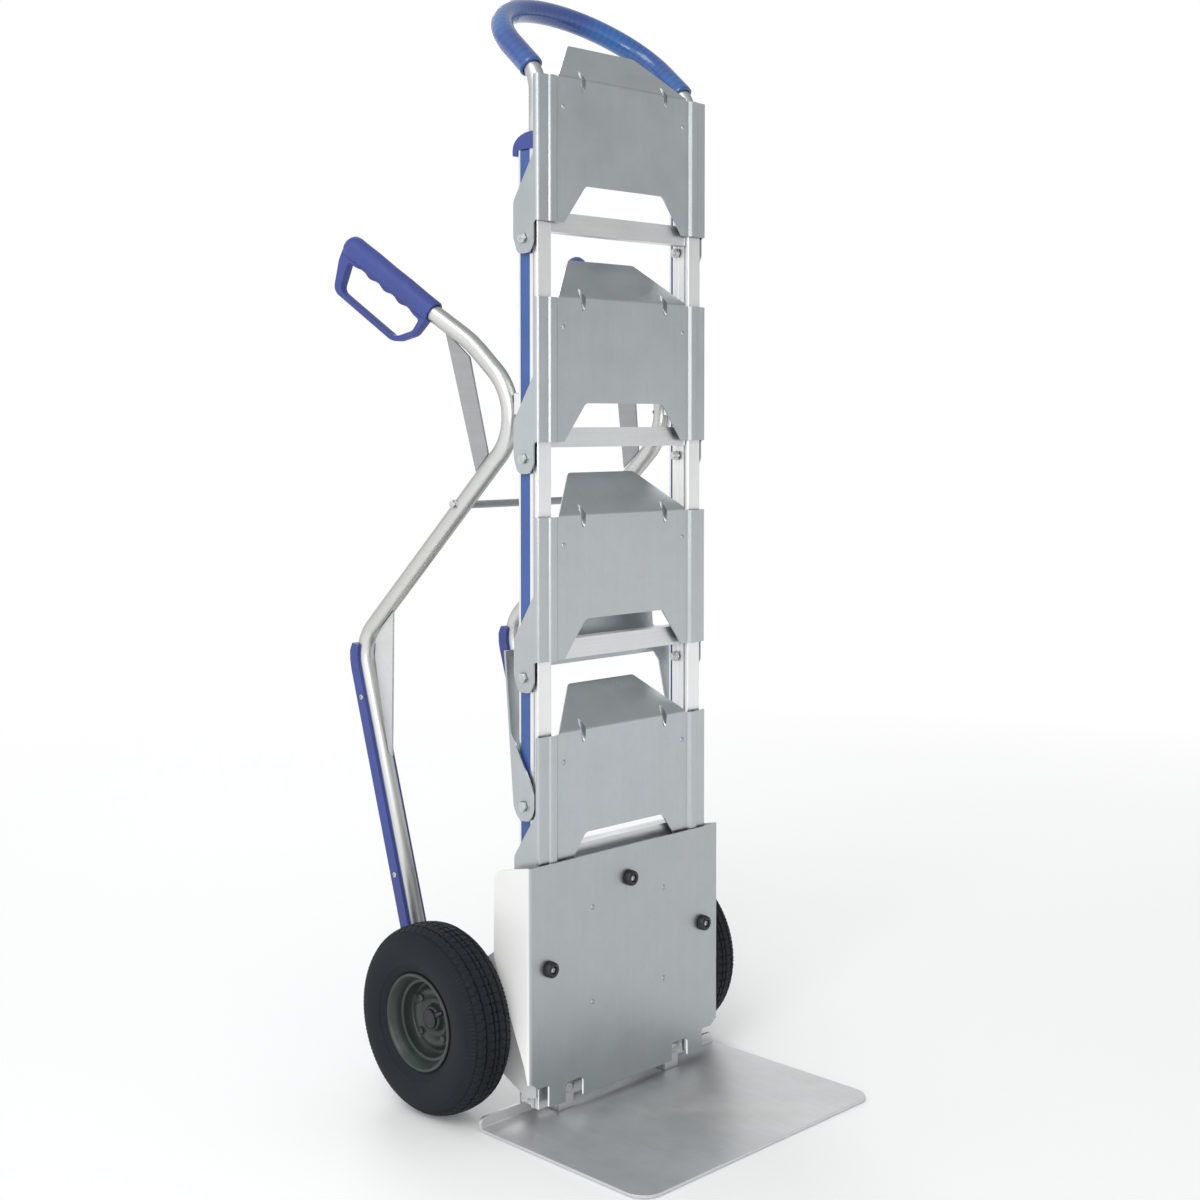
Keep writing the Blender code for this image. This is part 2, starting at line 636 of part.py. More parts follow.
def toe_bolt(side, sign):
    bolt("toe_bolt_" + side, "Y",
         [((sign * TOE_BOLT_X, y, TOE_BOLT_Z), *size) for y, *size in TOE_BOLT])


toe_plate()
bottom_rung()
for side, sign in SIDES:
    toe_bracket(side, sign)
    toe_bolt(side, sign)


# ---------------------------------------------------------------- axle plates, axle and wheels
AXLE_PLATE_INNER, AXLE_PLATE_OUTER = 163.4, 166.2   # |X|
AXLE_HALF = 243.0
AXLE_CAP_R, AXLE_CAP_LENGTH = 13.5, 4.0
SHOULDER_R, SHOULDER_GAP = 14.0, 0.5
HUB_INNER = 34                          # from the wheel's middle to the hub's inboard end
TYRE_R, TYRE_HALF = 130.0, 40.0
RIM_R = 66.5

AXLE_PLATE = [                          # Y, Z, corner radius
    (1.5, 36, 3), (20, 31, 3), (150, 90, 30), (262, 96, 10), (274, 120, 12),
    (262, 160, 12), (160, 168, 30), (38, 252, 6), (1.5, 252, 3)]

# Wheel sections: distance outward from the wheel's middle, radius.
TYRE_OUTSIDE = [                        # from one bead to the shoulder beside the crown
    (-17, 60.6), (-23, 61), (-25.5, 69), (-36, 80), (-TYRE_HALF, 96),
    (-TYRE_HALF + 1, 109), (-TYRE_HALF + 8, 120), (-20, 128)]
TYRE_INSIDE = [(20, 73), (31, 87), (33, 103), (24, 115.5)]
TYRE_SECTION = (TYRE_OUTSIDE + [(0, TYRE_R)] + reflected(TYRE_OUTSIDE)
                + TYRE_INSIDE + [(0, 122)] + reflected(TYRE_INSIDE))

RIM_BORE = AXLE_R + GAP
RIM_SECTION = [
    (-HUB_INNER, RIM_BORE), (-HUB_INNER, 17), (-6, 17), (-6, 36), (-14, 44), (-14, 50),
    (-18, 54), (-27, RIM_R - 9), (-32, RIM_R - 2), (-30, RIM_R), (-24.5, 60), (-17, 57),
    (-10, 52), (10, 52), (17, 57), (24.5, 60), (30, RIM_R), (32, RIM_R - 2),
    (27, RIM_R - 9), (18, 54), (12, 49), (-9, 48), (-10, 44), (-3, 36), (-3, 17),
    (8, 17), (8, RIM_BORE)]


def axle():
    """Axle with a shoulder inboard of each hub and a cap on each end."""
    part = rod("axle", (0, AXLE_Y, AXLE_Z), "X", AXLE_R, 2 * AXLE_HALF, 20, ZINC)
    start = AXLE_PLATE_OUTER + SHOULDER_GAP
    end = WHEEL_X - HUB_INNER - SHOULDER_GAP
    cap_x = AXLE_HALF - AXLE_CAP_LENGTH / 2
    for _, sign in SIDES:
        part = add_rod(part, (sign * (start + end) / 2, AXLE_Y, AXLE_Z), "X",
                       SHOULDER_R, end - start, 20)
        part = add_rod(part, (sign * cap_x, AXLE_Y, AXLE_Z), "X",
                       AXLE_CAP_R, AXLE_CAP_LENGTH, 20)


def axle_plate(side, sign):
    """Side plate on the outside of an upright that carries the axle and the strut's foot."""
    outline = rounded([(y, z) for y, z, _ in AXLE_PLATE], [r for _, _, r in AXLE_PLATE], 2)
    flat("axle_plate_" + side, outline, "YZ", sign * AXLE_PLATE_INNER,
         sign * AXLE_PLATE_OUTER, MILL, holes=[circle(AXLE_Y, AXLE_Z, AXLE_R + GAP, 20)])


def wheel_ring(name, sign, section, steps, material):
    """A closed section turned about the axle, with its origin at the wheel's centre."""
    work = bmesh.new()
    ring = [work.verts.new(metres(x * sign, 0.0, radius)) for x, radius in section]
    for i in range(len(ring)):
        work.edges.new((ring[i], ring[(i + 1) % len(ring)]))
    part = new_part(name + "_section", mesh_from(work, name))
    modifier = part.modifiers.new("turn", "SCREW")
    modifier.axis = "X"
    modifier.steps = modifier.render_steps = steps
    modifier.use_merge_vertices = True
    modifier.merge_threshold = 1e-5
    part = baked(part, name, material, weld=2e-6)
    part.location = metres(sign * WHEEL_X, AXLE_Y, AXLE_Z)
    part.data.shade_smooth()


axle()
for side, sign in SIDES:
    axle_plate(side, sign)
    # pneumatic tyre, open toward the axle
    wheel_ring("tyre_" + side, sign, TYRE_SECTION, 36, TYRE_RUBBER)
    # pressed rim: flanges, drop centre, dished disc and a hub with its bore
    wheel_ring("rim_" + side, sign, RIM_SECTION, 28, RIM_PAINT)


# ---------------------------------------------------------------- rear stair struts
STRUT_CORNERS = [                       # |X|, Y, Z, bend radius; from the foot upward
    (STRUT_X, 245.0, 116.0, 0),
    (STRUT_X, 403.0, 620.0, 58.0),
    (STRUT_X, 28.5, 964.0, 80.0),
    (163.0, 134.0, 1063.0, 150.0),
    (182.0, 191.0, 1104.0, 300.0),
    (217.0, 303.7, 1188.5, 0)]
GRIP_START = STRUT_CORNERS[4][:3]
GRIP_DIRECTION = Vector((41.0, 132.0, 99.0)).normalized()   # on the +X side
SKID_BOTTOM, SKID_TOP = 190.0, 626.0
LEG_SLOPE = 0.3135                      # rearward run of the strut's leg per mm of rise
SKID_HALF = 17.5
SKID_REACH, SKID_END_REACH = 16.5, 13.2     # rearward of the strut's axis; at the top end
SKID_WRAP = 2.0                         # forward of the strut's axis
GUSSET_HALF = 1.5                       # half thickness of the gussets and braces
LOWER_GUSSET = [(327, 671), (352, 648), (368, 626), (371, 600), (339, 462), (331, 456)]  # Y, Z
UPPER_BRACE = [(113, 908), (141, 882.5), (184, 1080), (137, 1043)]      # Y, Z


def strut_path(sign):
    return fillet_path([(sign * x, y, z) for x, y, z, _ in STRUT_CORNERS],
                       [radius for *_, radius in STRUT_CORNERS], step=11.0)


def hand_grip(side, sign):
    """Closed hand guard: a round sleeve on the strut's end with a finger guard below it.
    Drawn with local x along the strut and local y pointing down, then turned into place."""
    outline = rounded([(4, -10), (170, -14), (182, 0), (178, 26), (160, 66), (146, 70),
                       (28, 70), (14, 60), (3, 14)], [0, 8, 12, 20, 14, 14, 16, 12, 0], 3)
    # finger grooves: a wave of 2.2 mm, four points to a wave
    grooves = [(15 + 142 * k / 16.0, 16.0 + 2.2 * math.cos(2 * math.pi * k / 4.0))
               for k in range(17)]
    opening = grooves + rounded([(164, 28), (150, 62), (30, 63), (13, 30)], [5, 9, 13, 6], 2)
    guard = flat("grip_guard", outline, "XY", -8.0, 8.0, BLUE, holes=[opening])
    part = rod("hand_grip_" + side, (93.0, 0.0, 0.0), "X", 17.0, 178.0, 16, BLUE)
    part = boolean(part, guard, "UNION")
    part = drill(part, (80.0, 0.0, 0.0), "X", 13.0, 170.0, 16)

    along = Vector((sign * GRIP_DIRECTION.x, GRIP_DIRECTION.y, GRIP_DIRECTION.z))
    across = Vector((0, 0, 1)).cross(along).normalized()
    down = across.cross(along).normalized()
    placement = Matrix((along, down, along.cross(down))).transposed().to_4x4()
    x, y, z = GRIP_START
    placement.translation = metres(sign * x, y, z)
    part.data.transform(placement)


def stair_skid(side, sign):
    """Blue channel clipped on the rear of the strut's leg; it slides on the stair edges."""
    path = strut_path(sign)
    # the leg in Y, Z, from its lower end to just above the lower bend
    line = [Vector((p.y, p.z)) for p in path if p.z < SKID_TOP and p.y > 200.0]
    foot = line[0]
    line[0] = Vector((foot.x + (SKID_BOTTOM - foot.y) * LEG_SLOPE, SKID_BOTTOM))
    last = len(line) - 1
    front, rear = [], []
    for i, here in enumerate(line):
        upward = (line[min(i + 1, last)] - line[max(i - 1, 0)]).normalized()
        rearward = Vector((upward.y, -upward.x))
        reach = SKID_REACH if i < last else SKID_END_REACH
        rear.append(tuple(here + rearward * reach))
        front.append(tuple(here - rearward * SKID_WRAP))
    part = flat("stair_skid_" + side, rear + front[::-1], "YZ",
                sign * (STRUT_X - SKID_HALF), sign * (STRUT_X + SKID_HALF), BLUE)
    tube = baked(wire("cutter", path, STRUT_R + 0.7, caps=True), "cutter")
    boolean(part, tube, "DIFFERENCE")


def lower_gusset(side, sign):
    """Flat plate inside the strut's lower bend."""
    x = sign * STRUT_X
    flat("lower_gusset_" + side, LOWER_GUSSET, "YZ", x - GUSSET_HALF, x + GUSSET_HALF, MILL)


def upper_brace(side, sign):
    """Flat bar that ties the grip limb to the diagonal; it leans outward with the limb."""
    outward_slope, level_z = 0.095, 895.0   # the brace stands at |X| = 150 at this height
    part = flat("upper_brace_" + side, UPPER_BRACE, "YZ", -GUSSET_HALF, GUSSET_HALF, MILL)
    for vertex in part.data.vertices:
        height = vertex.co.z * 1000.0 - level_z
        vertex.co.x += sign * (STRUT_X + height * outward_slope) / 1000.0


def strut_bracket(side, sign):
    """Short spacer that holds the strut's bend off the rear of the upright."""
    x = sign * STRUT_X
    low = (x - 8, UPRIGHT_DEPTH + GAP, 962)
    high = (x + 8, 53.6, 992)
    work = bmesh.new()
    bmesh.ops.create_cube(work, size=1.0)
    for vertex in work.verts:
        vertex.co = metres(*[low[i] + (vertex.co[i] + 0.5) * (high[i] - low[i])
                             for i in range(3)])
    bmesh.ops.bevel(work, geom=work.edges[:], offset=0.001, segments=1,
                    affect="EDGES", profile=0.5)
    solid_from(work, "strut_bracket_" + side, MILL)


for side, sign in SIDES:
    pipe("strut_" + side, strut_path(sign), STRUT_R, TUBE_WALL, MILL)
    hand_grip(side, sign)
    stair_skid(side, sign)
    lower_gusset(side, sign)
    upper_brace(side, sign)
    strut_bracket(side, sign)

rod("rear_crossbar", (0, 169.5, 835.0), "X", 5.5, 2 * (STRUT_X - STRUT_R - 0.4), 14, MILL)


# ---------------------------------------------------------------- rear stand
STAND_PIVOT_LEVEL_Y = 41.5              # Y of the stand's web at the height of its pivot
STAND_LEAN = 0.0911                     # rearward run of the web per mm of rise
STAND_BOTTOM, STAND_SHOULDER, STAND_TOP = 430, 640, 690
STAND_OUTER = [                         # |X|, Z
    (FLANGE_MID, STAND_BOTTOM), (FLANGE_MID, STAND_SHOULDER), (140, STAND_SHOULDER),
    (127, 652), (127, STAND_TOP)]
STAND_INNER = [(126, 612), (136, 598), (150, 500), (157, 458), (164, 454),
               (164, STAND_BOTTOM)]     # |X|, Z
ARM_FRONT = [                           # Y, Z; the arm's front edge, then round the pivot
    (48.0, 530), (1.0, 451), (1.0, 431), (4.5, 421), (13.0, 412.5), (29.0, 411), (37.0, 419)]


def rear_stand():
    """U-shaped sheet stand hung on the outside of both uprights, stowed behind them."""
    def web_y(z):
        return STAND_PIVOT_LEVEL_Y + (z - STAND_PIVOT_Z) * STAND_LEAN

    web = STAND_OUTER + reflected(STAND_OUTER) + reflected(STAND_INNER) + STAND_INNER
    panels = [[(x, web_y(z), z) for x, z in web]]
    shoulder_y = web_y(STAND_SHOULDER)
    arm = [(web_y(STAND_BOTTOM), STAND_BOTTOM), (shoulder_y, STAND_SHOULDER),
           (shoulder_y - 2.2, STAND_SHOULDER), *ARM_FRONT]
    for _, sign in SIDES:
        panels.append([(sign * FLANGE_MID, y, z) for y, z in arm])
    part = sheet("rear_stand", panels, SHEET)
    for _, sign in SIDES:
        part = drill(part, (sign * FLANGE_MID, PIVOT_Y, STAND_PIVOT_Z), "X", BOLT_HOLE_R, 12)
    set_origin(part, 0, PIVOT_Y, STAND_PIVOT_Z)


rear_stand()
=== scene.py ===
import math

import bmesh
import bpy
from mathutils import Matrix, Vector


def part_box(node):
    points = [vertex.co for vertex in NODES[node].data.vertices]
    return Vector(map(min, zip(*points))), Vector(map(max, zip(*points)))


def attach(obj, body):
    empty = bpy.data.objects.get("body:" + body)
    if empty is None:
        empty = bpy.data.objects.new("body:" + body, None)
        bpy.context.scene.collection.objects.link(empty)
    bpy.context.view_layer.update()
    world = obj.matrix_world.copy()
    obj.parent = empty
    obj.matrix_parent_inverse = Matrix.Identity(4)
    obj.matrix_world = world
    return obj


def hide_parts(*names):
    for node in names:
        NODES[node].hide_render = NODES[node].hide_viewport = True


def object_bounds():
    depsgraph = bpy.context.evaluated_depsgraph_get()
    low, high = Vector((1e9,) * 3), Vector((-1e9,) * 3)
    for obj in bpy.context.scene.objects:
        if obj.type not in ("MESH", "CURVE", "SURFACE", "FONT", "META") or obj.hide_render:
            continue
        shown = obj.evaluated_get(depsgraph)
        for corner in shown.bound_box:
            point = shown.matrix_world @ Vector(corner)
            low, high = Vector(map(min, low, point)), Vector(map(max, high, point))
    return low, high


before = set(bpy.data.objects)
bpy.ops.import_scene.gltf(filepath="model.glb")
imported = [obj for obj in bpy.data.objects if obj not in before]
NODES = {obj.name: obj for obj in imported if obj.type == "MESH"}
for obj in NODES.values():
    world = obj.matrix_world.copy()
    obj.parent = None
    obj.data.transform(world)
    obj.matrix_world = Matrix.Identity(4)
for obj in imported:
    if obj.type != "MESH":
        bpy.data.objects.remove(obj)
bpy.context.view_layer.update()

# ------------------------------------------------------------------ places taken from the frame


def mid(node):
    lo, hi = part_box(node)
    return (lo + hi) / 2


PIVOT_Z = [mid("tray_%d_bolt_left" % (i + 1)).z * 1000 for i in range(4)]
PIVOT_Y = mid("tray_1_bolt_left").y * 1000
STAND_Z = mid("stand_bolt_left").z * 1000
AXLE_Y, AXLE_Z = mid("axle").y * 1000, mid("axle").z * 1000
WHEEL_X = mid("tyre_right").x * 1000
TYRE_R = (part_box("tyre_right")[1].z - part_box("tyre_right")[0].z) * 500
UP_IN, UP_OUT = 137.5, 163.0
SHEET = 2.5


def v(x, y, z):
    return Vector((x, y, z)) / 1000.0


# ------------------------------------------------------------------ node materials
class Mat:
    """A small helper for building node materials."""

    def __init__(self, name):
        self.m = bpy.data.materials.new(name)
        self.m.use_nodes = True
        self.t = self.m.node_tree
        self.b = self.t.nodes["Principled BSDF"]
        self.co = self.n("ShaderNodeTexCoord").outputs["Object"]

    def n(self, kind, **props):
        node = self.t.nodes.new(kind)
        for k, val in props.items():
            setattr(node, k, val)
        return node

    def put(self, socket, value):
        if isinstance(value, bpy.types.NodeSocket):
            self.t.links.new(value, socket)
        else:
            socket.default_value = value

    def math(self, op, a, b=0.0, c=None, clamp=False):
        node = self.n("ShaderNodeMath", operation=op, use_clamp=clamp)
        self.put(node.inputs[0], a)
        self.put(node.inputs[1], b)
        if c is not None:
            self.put(node.inputs[2], c)
        return node.outputs[0]

    def scaled(self, scale, offset=(0, 0, 0), source=None):
        node = self.n("ShaderNodeMapping")
        self.put(node.inputs["Vector"], source or self.co)
        node.inputs["Scale"].default_value = scale
        node.inputs["Location"].default_value = offset
        return node.outputs["Vector"]

    def noise(self, scale, detail=3.0, rough=0.55, vector=None, distortion=0.0):
        node = self.n("ShaderNodeTexNoise")
        self.put(node.inputs["Vector"], vector or self.co)
        node.inputs["Scale"].default_value = scale
        node.inputs["Detail"].default_value = detail
        node.inputs["Roughness"].default_value = rough
        node.inputs["Distortion"].default_value = distortion
        return node.outputs[0]

    def ramp(self, value, lo, hi, out_lo=0.0, out_hi=1.0):
        node = self.n("ShaderNodeMapRange")
        node.clamp = True
        self.put(node.inputs["Value"], value)
        node.inputs["From Min"].default_value = lo
        node.inputs["From Max"].default_value = hi
        node.inputs["To Min"].default_value = out_lo
        node.inputs["To Max"].default_value = out_hi
        return node.outputs[0]

    def mix(self, fac, a, b):
        node = self.n("ShaderNodeMix", data_type="RGBA")
        self.put(node.inputs[0], fac)
        for sock, val in ((node.inputs[6], a), (node.inputs[7], b)):
            self.put(sock, val if isinstance(val, bpy.types.NodeSocket) else (*val, 1.0))
        return node.outputs[2]

    def scale_colour(self, colour, factor):
        node = self.n("ShaderNodeVectorMath", operation="SCALE")
        self.put(node.inputs[0], colour)
        self.put(node.inputs["Scale"], factor)
        return node.outputs[0]

    def bump(self, height, distance, strength=1.0, normal=None):
        node = self.n("ShaderNodeBump")
        node.inputs["Strength"].default_value = strength
        node.inputs["Distance"].default_value = distance
        self.put(node.inputs["Height"], height)
        if normal is not None:
            self.put(node.inputs["Normal"], normal)
        return node.outputs[0]

    def crevice(self, distance=0.012):
        node = self.n("ShaderNodeAmbientOcclusion")
        node.samples = 4
        node.inputs["Distance"].default_value = distance
        return node.outputs["AO"]

    def finish(self, colour, rough, normal=None, metal=0.0, **extra):
        self.put(self.b.inputs["Base Color"], colour if isinstance(colour, bpy.types.NodeSocket) else (*colour, 1.0))
        self.put(self.b.inputs["Roughness"], rough)
        self.b.inputs["Metallic"].default_value = metal
        if normal is not None:
            self.put(self.b.inputs["Normal"], normal)
        for k, val in extra.items():
            self.put(self.b.inputs[k.replace("_", " ")], val)
        return self.m


def aluminium(name, colour, rough, along, streak=0.10, mottle=0.06, corner_shade=0.35, aniso=0.35, pits=0.5, limb=0.0, relief=0.5):
    """Satin aluminium: drawn or rolled streaks along one axis, cloudy handling marks, fine
    pits and painted shade darkening the corners; limb paints shade on a round tube's turned-away sides."""
    k = Mat(name)
    stretch = {"X": (6.0, 420.0, 420.0), "Y": (420.0, 6.0, 420.0), "Z": (420.0, 420.0, 6.0)}[along]
    wide = {"X": (3.0, 70.0, 70.0), "Y": (70.0, 3.0, 70.0), "Z": (70.0, 70.0, 3.0)}[along]
    lines = k.noise(1.0, 4.0, 0.6, k.scaled(stretch))
    bands = k.noise(1.0, 2.0, 0.5, k.scaled(wide))
    cloud = k.noise(9.0, 4.0, 0.6)
    smear = k.noise(34.0, 5.0, 0.65, distortion=0.6)
    speck = k.noise(900.0, 2.0, 0.5)
    shade = k.math("ADD", k.ramp(lines, 0.3, 0.7, -streak, streak), k.ramp(bands, 0.3, 0.7, -streak * 0.5, streak * 0.5))
    shade = k.math("ADD", shade, k.ramp(cloud, 0.3, 0.7, -mottle, mottle))
    shade = k.math("ADD", shade, k.ramp(smear, 0.35, 0.7, -mottle * 0.4, mottle * 0.4))
    shade = k.math("ADD", shade, k.ramp(speck, 0.35, 0.65, -0.03, 0.03))
    shade = k.math("ADD", 1.0, shade)
    # painted shade: the base colour darkens where the occlusion finds near surfaces, in corners and recesses
    ao = k.crevice(0.010)
    shade = k.math("MULTIPLY", shade, k.ramp(ao, 0.15, 0.85, 1.0 - corner_shade, 1.0))
    # painted shade: the sides turned away from the view are darkened in the base colour
    if limb:
        turned = k.n("ShaderNodeLayerWeight")
        turned.inputs["Blend"].default_value = 0.5
        shade = k.math("MULTIPLY", shade, k.ramp(turned.outputs["Facing"], 0.18, 0.92, 1.0, 1.0 - limb))
    base = k.scale_colour((*colour,), shade)
    warm = k.scale_colour((colour[0] * 1.04, colour[1] * 1.0, colour[2] * 0.96), shade)
    base = k.mix(k.ramp(k.noise(3.0, 2.0), 0.4, 0.65, 0.0, 0.5), base, warm)
    r = k.math("ADD", k.ramp(cloud, 0.3, 0.7, rough - 0.05, rough + 0.06), k.ramp(lines, 0.3, 0.7, -0.04, 0.04))
    height = k.math("ADD", k.math("MULTIPLY", lines, 0.6), k.math("MULTIPLY", speck, pits))
    extra = {"Anisotropic": aniso, "IOR": 1.6}
    return k.finish(base, r, k.bump(height, 0.00004, relief), 1.0, **extra)


def wing_lit(mat, colour, metal):
    """Painted light on the same sheet where it is bent round to the sides: faces turned to the sides get a paler base
    colour and less metal.
    """
    t = mat.node_tree
    b = t.nodes["Principled BSDF"]
    geo = t.nodes.new("ShaderNodeNewGeometry")
    sep = t.nodes.new("ShaderNodeSeparateXYZ")
    t.links.new(geo.outputs["Normal"], sep.inputs[0])
    side = t.nodes.new("ShaderNodeMath")
    side.operation = "ABSOLUTE"
    t.links.new(sep.outputs["X"], side.inputs[0])
    fac = t.nodes.new("ShaderNodeMapRange")
    fac.inputs["From Min"].default_value = 0.75
    fac.inputs["From Max"].default_value = 0.97
    t.links.new(side.outputs[0], fac.inputs["Value"])
    was = b.inputs["Base Color"].links[0].from_socket
    mix = t.nodes.new("ShaderNodeMix")
    mix.data_type = "RGBA"
    t.links.new(fac.outputs[0], mix.inputs[0])
    t.links.new(was, mix.inputs[6])
    # painted light: a lit copy of the base colour, lifted towards a pale tone
    lift = t.nodes.new("ShaderNodeMix")
    lift.data_type = "RGBA"
    lift.inputs[0].default_value = 0.82
    t.links.new(was, lift.inputs[6])
    lift.inputs[7].default_value = (*colour, 1.0)
    t.links.new(lift.outputs[2], mix.inputs[7])
    t.links.new(mix.outputs[2], b.inputs["Base Color"])
    less = t.nodes.new("ShaderNodeMapRange")
    less.inputs["To Min"].default_value = 1.0
    less.inputs["To Max"].default_value = metal
    t.links.new(fac.outputs[0], less.inputs["Value"])
    t.links.new(less.outputs[0], b.inputs["Metallic"])
    return mat


def moulded(name, colour, rough, grain=0.00012, light=0.14):
    """Matte moulded plastic: leather-fine grain, slight fading, rubbed high spots and painted shade in the crevices."""
    k = Mat(name)
    cloud = k.noise(14.0, 3.0)
    fine = k.noise(1500.0, 2.0, 0.6)
    cells = k.n("ShaderNodeTexVoronoi")
    k.put(cells.inputs["Vector"], k.co)
    cells.inputs["Scale"].default_value = 900.0
    rub = k.math("MULTIPLY", k.ramp(k.noise(60.0, 5.0, 0.7), 0.58, 0.72), 0.5)
    shade = k.math("ADD", 1.0, k.ramp(cloud, 0.3, 0.7, -0.10, 0.10))
    shade = k.math("ADD", shade, k.ramp(fine, 0.3, 0.7, -0.06, 0.06))
    # painted shade: the base colour darkens in crevices where the occlusion finds near surfaces
    shade = k.math("MULTIPLY", shade, k.ramp(k.crevice(0.008), 0.1, 0.8, 0.65, 1.0))
    base = k.scale_colour(colour, shade)
    faded = k.scale_colour(tuple(c * 0.7 + light for c in colour), shade)
    base = k.mix(k.math("MULTIPLY", rub, 0.35), base, faded)
    height = k.math("ADD", k.math("MULTIPLY", cells.outputs["Distance"], 0.8), k.math("MULTIPLY", fine, 0.5))
    r = k.ramp(cloud, 0.3, 0.7, rough - 0.06, rough + 0.08)
    return k.finish(base, r, k.bump(height, grain, 0.6))


def sleeve_material():
    """Glossy tinted vinyl: dipped foam look with fine rings across it."""
    k = Mat("sleeve_vinyl")
    fine = k.noise(700.0, 2.0, 0.6)
    cloud = k.noise(16.0, 3.0)
    wave = k.n("ShaderNodeTexWave", wave_type="BANDS", bands_direction="X")
    k.put(wave.inputs["Vector"], k.n("ShaderNodeUVMap").outputs["UV"])
    wave.inputs["Scale"].default_value = 1.0
    shade = k.math("ADD", 1.0, k.ramp(cloud, 0.3, 0.7, -0.12, 0.12))
    shade = k.math("ADD", shade, k.ramp(wave.outputs["Fac"], 0.0, 1.0, -0.14, 0.05))
    base = k.scale_colour((0.020, 0.120, 0.370), shade)
    deep = k.scale_colour((0.028, 0.070, 0.260), shade)
    base = k.mix(k.ramp(k.noise(5.0, 2.0), 0.4, 0.6), base, deep)
    height = k.math("ADD", k.math("MULTIPLY", wave.outputs["Fac"], 1.0), k.math("MULTIPLY", fine, 0.12))
    return k.finish(base, k.ramp(cloud, 0.3, 0.7, 0.22, 0.32), k.bump(height, 0.00018, 0.6), Coat_Weight=0.6, Coat_Roughness=0.12)


def tyre_material():
    """Dry black rubber with a grey bloom, dust in the tread and fine mould lines."""
    k = Mat("tyre_compound")
    fine = k.noise(1100.0, 3.0, 0.65)
    cloud = k.noise(18.0, 5.0, 0.65)
    dust = k.math("MULTIPLY", k.ramp(k.noise(45.0, 5.0, 0.7), 0.5, 0.75), k.ramp(k.crevice(0.006), 0.3, 0.95, 0.8, 0.12))
    base = k.mix(k.ramp(cloud, 0.3, 0.7), (0.006, 0.009, 0.013), (0.014, 0.018, 0.024))
    base = k.mix(k.math("MULTIPLY", dust, 0.28), base, (0.055, 0.053, 0.046))
    sep = k.n("ShaderNodeSeparateXYZ")
    k.put(sep.inputs[0], k.co)
    r = k.math("SQRT", k.math("ADD", k.math("POWER", sep.outputs[1], 2.0), k.math("POWER", sep.outputs[2], 2.0)))
    rings = k.math("SINE", k.math("MULTIPLY", r, 2 * math.pi / 0.0021))
    side = k.math("MULTIPLY", rings, k.ramp(k.math("ABSOLUTE", sep.outputs[0]), 0.030, 0.036))
    height = k.math("ADD", k.math("MULTIPLY", fine, 0.7), k.math("MULTIPLY", side, 0.12))
    return k.finish(base, k.ramp(cloud, 0.3, 0.7, 0.62, 0.82), k.bump(height, 0.00022, 0.8), IOR=1.34)


def rim_material():
    """Dark satin paint with orange peel, chips on the edges and grey road dust."""
    k = Mat("rim_enamel")
    peel = k.noise(260.0, 2.0, 0.5)
    cloud = k.noise(30.0, 4.0, 0.6)
    chips = k.math("MULTIPLY", k.ramp(k.noise(240.0, 4.0, 0.7), 0.66, 0.70), k.ramp(k.noise(22.0, 3.0), 0.52, 0.62))
    base = k.mix(k.ramp(cloud, 0.3, 0.7), (0.022, 0.031, 0.028), (0.040, 0.052, 0.046))
    base = k.mix(k.math("MULTIPLY", k.ramp(k.crevice(0.010), 0.2, 0.9, 0.5, 0.0), 0.5), base, (0.07, 0.066, 0.055))
    base = k.mix(k.math("MULTIPLY", chips, 0.8), base, (0.22, 0.22, 0.20))
    height = k.math("SUBTRACT", k.math("MULTIPLY", peel, 1.0), k.math("MULTIPLY", chips, 0.7))
    return k.finish(base, k.ramp(cloud, 0.3, 0.7, 0.34, 0.5), k.bump(height, 0.00025, 0.45), 0.15, Coat_Weight=0.2, Coat_Roughness=0.3)


def zinc_material():
    """Zinc plated steel: cool patchy plating, forging marks and painted shade in the crevices."""
    k = Mat("zinc_plate")
    cells = k.n("ShaderNodeTexVoronoi")
    k.put(cells.inputs["Vector"], k.co)
    cells.inputs["Scale"].default_value = 420.0
    cloud = k.noise(120.0, 4.0, 0.6)
    shade = k.math("ADD", k.ramp(cloud, 0.3, 0.7, 0.82, 1.1), k.ramp(cells.outputs["Distance"], 0.0, 0.6, -0.08, 0.05))
    # painted shade: the base colour darkens to less than half in crevices
    shade = k.math("MULTIPLY", shade, k.ramp(k.crevice(0.005), 0.1, 0.9, 0.45, 1.0))
    base = k.scale_colour((0.60, 0.61, 0.60), shade)
    return k.finish(base, k.ramp(cloud, 0.3, 0.7, 0.22, 0.40), k.bump(cloud, 0.00008, 0.6), 1.0)


def rubber_material():
    """Moulded black rubber of the buffers."""
    k = Mat("buffer_rubber")
    fine = k.noise(1300.0, 2.0, 0.6)
    cloud = k.noise(80.0, 4.0, 0.6)
    base = k.mix(k.ramp(cloud, 0.3, 0.7), (0.008, 0.008, 0.010), (0.022, 0.023, 0.026))
    return k.finish(base, k.ramp(cloud, 0.3, 0.7, 0.32, 0.5), k.bump(fine, 0.00012, 0.6))


